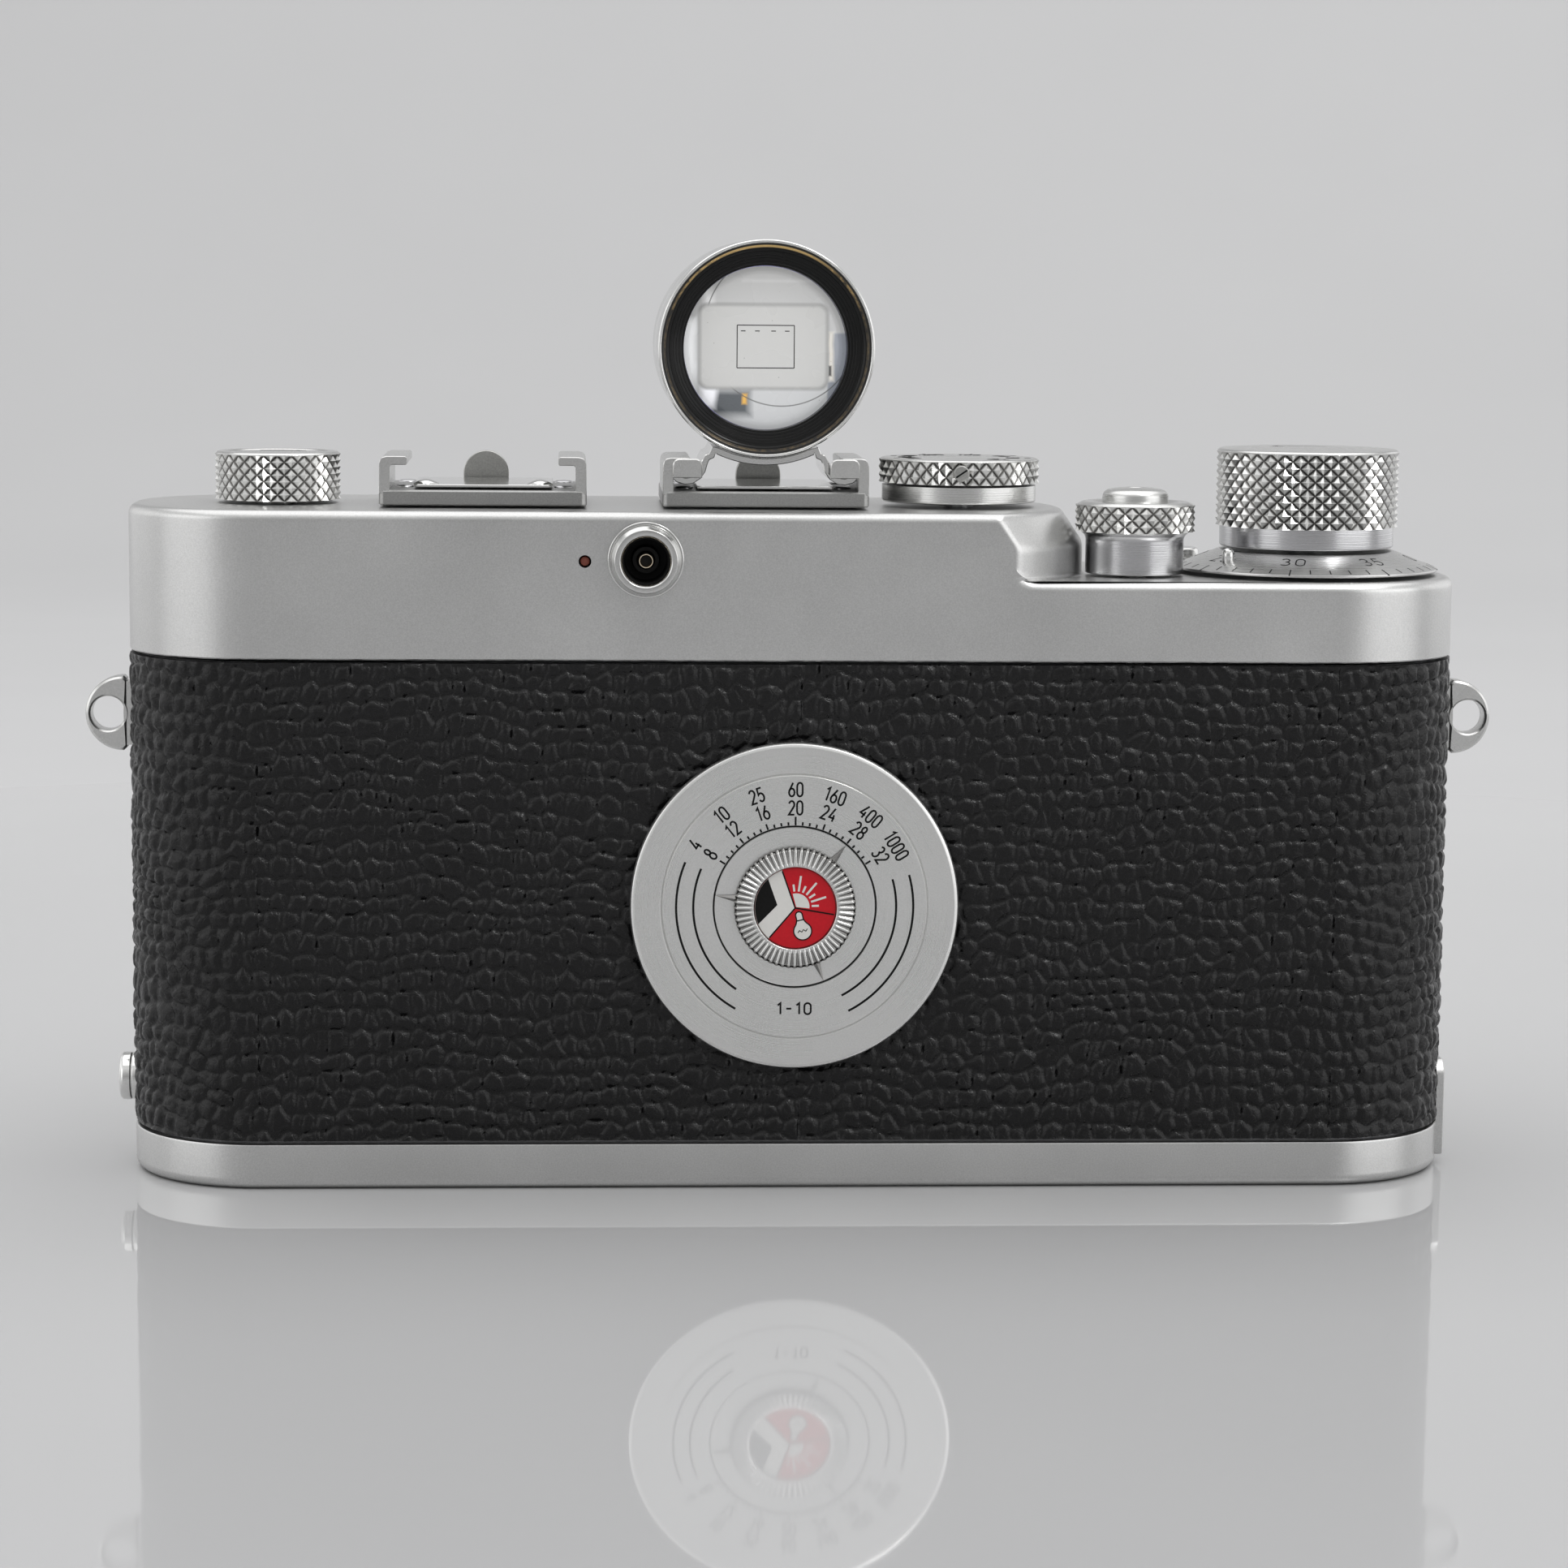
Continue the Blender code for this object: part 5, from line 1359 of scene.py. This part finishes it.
def front_marks():
    angles = [150 - 22 * k for k in range(7)]
    marks = dial_figures("1 2 3 5 7 10 20", angles, 20.1, 1.6) + ticks(angles, 21.9, 0.5, -0.3)
    piece("distance_marks", inlay(marks, 0.2, front_face(LENS, 25.98)), "ink", "focus")
    marks = dial_figures("2 4 6 8 12 16", [130 - 16 * k for k in range(6)], 16.55, 1.15)
    piece("stop_marks", inlay(marks, 0.15, front_face(LENS, 35.88)), "ink", "tube")


def build_slow():
    slow = [(0, 14.6), (2.9, 14.6), (2.9, 15.0), (7.0, 15.0), (7.2, 15.2), (7.2, 17.3), (6.9, 17.7),
            (3.2, 17.8), (2.9, 18.1), (2.6, 18.4), (0, 18.4)]
    turned("slow_grip", "y", SLOW, slow, lathe("slow_metal", "satin", "y", SLOW, 0.28, 0.5, 0.3), "slow",
           "slow_dial", 288, 0.08, scallop(36, 7.1, 0.22))
    turned("slow_foot", "y", SLOW, [(0, 14.1), (2.85, 14.1), (2.85, 14.8), (0, 14.8)],
           "steel", "slow", None, 48)
    marks = dial_figures("30 20 10 4 2 1", [150 - 48 * k for k in range(6)], 5.2, 1.3, 0.9)
    piece("slow_marks", inlay(marks, 0.16, front_face(SLOW, 17.76)), "ink", "slow")


def build_lever():
    turned("lever_hub", "z", LEVER, [
        (0, 58.0), (1.0, 58.0), (1.0, 60.7), (2.0, 60.7), (2.0, 62.0), (1.8, 62.2), (0, 62.2)],
        lathe("lever_chrome", "bright", "z", LEVER, 0.14), "lever", "rewind_lever", 48, 0.1)
    arm = [(LEVER[0] - 5.6, LEVER[1] - 0.9), (LEVER[0], LEVER[1] - 1.3), (LEVER[0], LEVER[1] + 1.3),
           (LEVER[0] - 5.6, LEVER[1] + 0.9)]
    piece("lever_arm", prism(soft(arm, 0.5, 3, False), "z", 61.0, 61.9, 0.12), "satin", "lever")


def build_front():
    metal_a = lathe("lens_satin", "satin", "y", LENS, 0.28, 0.5, 0.3)
    metal_b = lathe("lens_bright", "bright", "y", LENS, 0.13, 0.5, 0.2)
    turned("mount_ring", "y", LENS, [
        (19.6, 13.85), (22.9, 13.85), (22.9, 15.9), (22.5, 16.2), (19.6, 16.2)], metal_b, "camera",
        "lens_mount_ring", 128, 0.15)
    for k in range(4):
        a = math.radians(45 + 90 * k)
        spot = (LENS[0] + 21.3 * math.cos(a), LENS[1] + 21.3 * math.sin(a))
        turned(f"mount_screw_{k}", "y", spot, [
            (0, 16.0), (0.85, 16.0), (0.85, 16.35), (0.6, 16.45), (0, 16.45)],
            "steel", "camera", None, 24, 0.05)
        # painted shade: each screw's slot is a thin black strip on the head, standing in for the shade in the
        # groove
        slot = inlay([[(-0.8, 0.0), (0.8, 0.0)]], 0.2, front_face(spot, 16.45), 0.01)
        piece(f"mount_slot_shade_{k}", slot, "ink", "camera")
    turned("lens_base", "y", LENS, [
        (15.6, 12.6), (18.6, 12.6), (19.2, 13.2), (19.2, 16.5), (22.4, 16.5), (22.4, 17.6), (22.1, 17.8),
        (22.1, 20.6), (22.4, 20.8), (22.4, 21.0), (17.0, 21.0), (17.0, 24.0), (15.6, 24.0)],
        metal_a, "camera", "lens_barrel", 128, 0.12)
    ring = [(17.3, 21.3), (22.9, 21.3), (23.0, 21.5), (23.0, 22.3), (23.4, 22.5), (23.4, 25.1),
            (23.0, 25.35), (22.6, 25.9), (17.3, 26.0)]
    turned("focus_grip", "y", LENS, ring, metal_a, "focus", "focus_ring", 480, 0.1, scallop(60, 23.2, 0.35))
    arm = [(LENS[0] - x, LENS[1] - z) for x, z in ((26.5, 10.5), (23.0, 12.5), (18.6, 7.0), (21.0, 4.0))]
    piece("focus_arm", prism(soft(arm, 1.0, 4, False), "y", 22.05, 24.2, 0.2), "satin", "focus")
    turned("focus_button", "y", CATCH, [
        (0, 24.1), (1.9, 24.1), (1.9, 26.4), (1.7, 26.8), (1.2, 27.0), (0, 26.9)],
        lathe("catch_chrome", "bright", "y", CATCH, 0.13), "focus", "focus_catch", 48, 0.12)
    turned("carrier_ring", "y", LENS, [
        (15.5, 26.4), (21.6, 26.4), (21.8, 26.6), (21.8, 29.4), (21.3, 29.8), (18.8, 30.55), (15.5, 30.6)],
        metal_a, "carrier", "lens_carrier", 128, 0.12)
    turned("collapse_tube", "y", LENS, [
        (14.4, 1.0), (15.2, 1.0), (15.2, 31.2), (12.6, 31.2), (12.6, 30.4), (14.4, 30.4)], metal_b, "tube",
        "lens_tube", 128, 0.1)
    front = [(9.7, 31.5), (17.6, 31.5), (17.8, 31.7), (17.8, 32.3), (18.1, 32.5), (18.1, 34.9), (17.8, 35.2),
             (17.5, 35.8), (15.6, 35.9), (15.4, 35.2), (9.7, 35.2)]
    turned("front_grip", "y", LENS, front, metal_a, "tube", "lens_front_ring", 432, 0.08,
           scallop(72, 18.0, 0.25))
    turned("inner_black", "y", LENS, [(9.2, 34.6), (15.3, 34.9), (15.3, 35.45), (12.0, 35.4), (9.6, 34.9)],
           "matt_black", "tube", None, 96, 0.05)
    turned("iris_ring", "y", LENS, [
        (10.4, 35.5), (15.1, 35.5), (15.0, 35.9), (14.6, 36.5), (12.6, 36.95), (11.6, 36.9), (10.9, 36.5),
        (10.4, 36.3)], "black", "iris", "aperture_ring", 128, 0.08)
    tab = rectangle(LENS[0] + 13.0, LENS[1] - 0.8, LENS[0] + 15.0, LENS[1] + 0.8)
    piece("iris_tab", prism(soft(tab, 0.2, 2, False), "y", 35.9, 37.55, 0.12), "bright", "iris")
    lens = [(0, 32.3), (9.4, 32.3), (9.4, 33.6)] + dome(9.4, 33.6, 1.6, 10) + [(0, 35.2)]
    turned("front_element", "y", LENS, lens, "glass", "tube", "lens_front_glass", 96, 0.02)
    turned("inner_throat", "y", LENS, [(0, 30.5), (9.6, 30.5), (9.6, 32.0), (0, 32.0)],
           "matt_black", "tube", None, 64, 0.05)
    front_marks()
    build_slow()
    build_lever()


# ---------------------------------------------------------------- CAD nodes that stay
def finish_nodes():
    looks = {
        "alloy": "body_shell shutter_crate", "dark_steel": "pressure_plate", "cloth": "shutter_curtain",
        "black": "film_cassette take_up_spool", "steel": "wind_shaft shutter_drum release_spring",
        "brass": "wind_gear sprocket_gear drum_gear rewind_sleeve", "satin": "sprocket",
        "matt_black": "cassette_spool", "glass": "lens_rear_glass",
    }
    for look, names in looks.items():
        for name in names.split():
            mesh = NODES[name].data
            mesh.materials.clear()
            mesh.materials.append(MAT[look])


# ---------------------------------------------------------------- floor, light and camera
def build_stage():
    """A floor that bends up into a wall far behind the camera body, with a painted glow; sizes in metres."""
    half_width, near, flat, bend, wall = 2.0, -1.6, 0.75, 0.45, 1.6
    path = [(near, 0.0), (flat, 0.0)]
    path += [(flat + bend * sin, bend - bend * cos) for sin, cos in quarter(15)[1:]] + [(flat + bend, wall)]
    n = len(path)
    verts = [(x, y, z) for x in (-half_width, half_width) for y, z in path]
    mesh = bpy.data.meshes.new("floor")
    mesh.from_pydata(verts, [], [(k, k + 1, n + k + 1, n + k) for k in range(n - 1)])
    mesh.shade_smooth()
    obj = new_object("floor", mesh)
    mat, nt, bsdf = blank("pale_floor")
    coords, (x, y, z) = place(nt)
    cloud = blotch(nt, coords, 9.0, 3.0)
    # painted glow: the floor emits light, more towards the back, up the wall and on the right
    depth = math_node(nt, "POWER", ranged(nt, y, 0.0, 0.8, 0.0, 1.0), 0.8)
    across = ranged(nt, x, -0.3, 0.3, 0.86, 1.12)
    height = ranged(nt, z, 0.0, 0.3, 0.62, 1.0)
    glow = times(nt, times(nt, depth, across), height)
    dress(bsdf, Base_Color=tinted(nt, cloud, (0.475, 0.475, 0.48), (0.51, 0.51, 0.515)),
          Roughness=ranged(nt, cloud, 0.3, 0.7, 0.025, 0.045),
          Specular_IOR_Level=ranged(nt, distance(nt, x, y), 0.15, 0.32, 0.5, 0.0),
          Emission_Color=tinted(nt, glow, (0.0, 0.0, 0.0), (0.21, 0.21, 0.21)), Emission_Strength=1.0)
    mesh.materials.append(mat)


def area_light(name, spot, target, size, radiance, glossy=True, diffuse=True):
    """A flat lamp of a given radiance, which the camera doesn't see."""
    data = bpy.data.lights.new(name, "AREA")
    data.shape = "RECTANGLE"
    data.size, data.size_y = size
    data.energy = radiance * math.pi * size[0] * size[1]
    obj = new_object(name, data)
    obj.location = spot
    obj.rotation_mode = "QUATERNION"
    obj.rotation_quaternion = (Vector(target) - Vector(spot)).to_track_quat("-Z", "Y")
    obj.visible_camera = False
    obj.visible_glossy = glossy
    obj.visible_diffuse = diffuse


def build_light():
    world = bpy.data.worlds.new("studio")
    world.use_nodes = True
    nt = world.node_tree
    xyz = node(nt, "SeparateXYZ", {}, Vector=node(nt, "TexCoord").outputs["Generated"]).outputs
    front = ranged(nt, xyz[1], -0.985, -0.75, 0.375, 0.60)
    sky = ranged(nt, xyz[2], 0.1, 0.7, 0.0, 0.25)
    dress(nt.nodes["Background"], Color=plus(nt, front, sky))
    bpy.context.scene.world = world
    centre, left_side, right_side = (0, 0, 0), (-0.05, 0, 0.05), (0.05, 0, 0.05)
    area_light("top", (0.0, 0.05, 0.75), centre, (1.2, 1.0), 0.86)
    area_light("top_fill", (0.0, 0.05, 0.76), centre, (1.2, 1.0), 0.40, glossy=False)
    for lamp in (("left", (-0.62, -0.26, 0.16), left_side, (0.62, 0.5), 0.85),
                 ("right", (0.60, -0.37, 0.16), right_side, (0.66, 0.5), 1.12),
                 ("far_left", (-0.66, 0.42, 0.2), left_side, (0.7, 0.5), 0.55),
                 ("far_right", (0.66, 0.42, 0.2), right_side, (0.7, 0.5), 0.62),
                 ("key", (0.38, -0.42, 0.75), (0, 0, 0.03), (0.2, 0.2), 14.0)):
        area_light(*lamp, diffuse=False)


def build_camera():
    yaw, pitch, roll = (math.radians(a) for a in (-3.08208, 7.24930, 0.49170))
    right = Vector((math.cos(yaw), math.sin(yaw), 0))
    up = Vector((-math.sin(yaw) * math.sin(pitch), math.cos(yaw) * math.sin(pitch), math.cos(pitch)))
    ahead = Vector((-math.sin(yaw) * math.cos(pitch), math.cos(yaw) * math.cos(pitch), -math.sin(pitch)))
    x = right * math.cos(roll) + up * math.sin(roll)
    y = up * math.cos(roll) - right * math.sin(roll)
    data = bpy.data.cameras.new("camera")
    data.lens, data.sensor_width = 93.142, 36.0
    obj = new_object("camera", data)
    obj.rotation_mode = "QUATERNION"
    obj.rotation_quaternion = Matrix((x, y, -ahead)).transposed().to_quaternion()
    obj.location = (-0.0228708, -0.4083104, 0.0906308)
    bpy.context.scene.camera = obj


bpy.context.scene.view_settings.view_transform = "Standard"
build_cover()
build_leather()
build_base()
build_fittings()
build_shoe("left", "shoe_left", "shoe_spring_left")
build_shoe("right", "shoe_right", "shoe_spring_right")
build_finder()
build_wind()
build_release()
build_speed()
build_rewind()
build_memo()
build_front()
finish_nodes()
build_stage()
build_light()
build_camera()
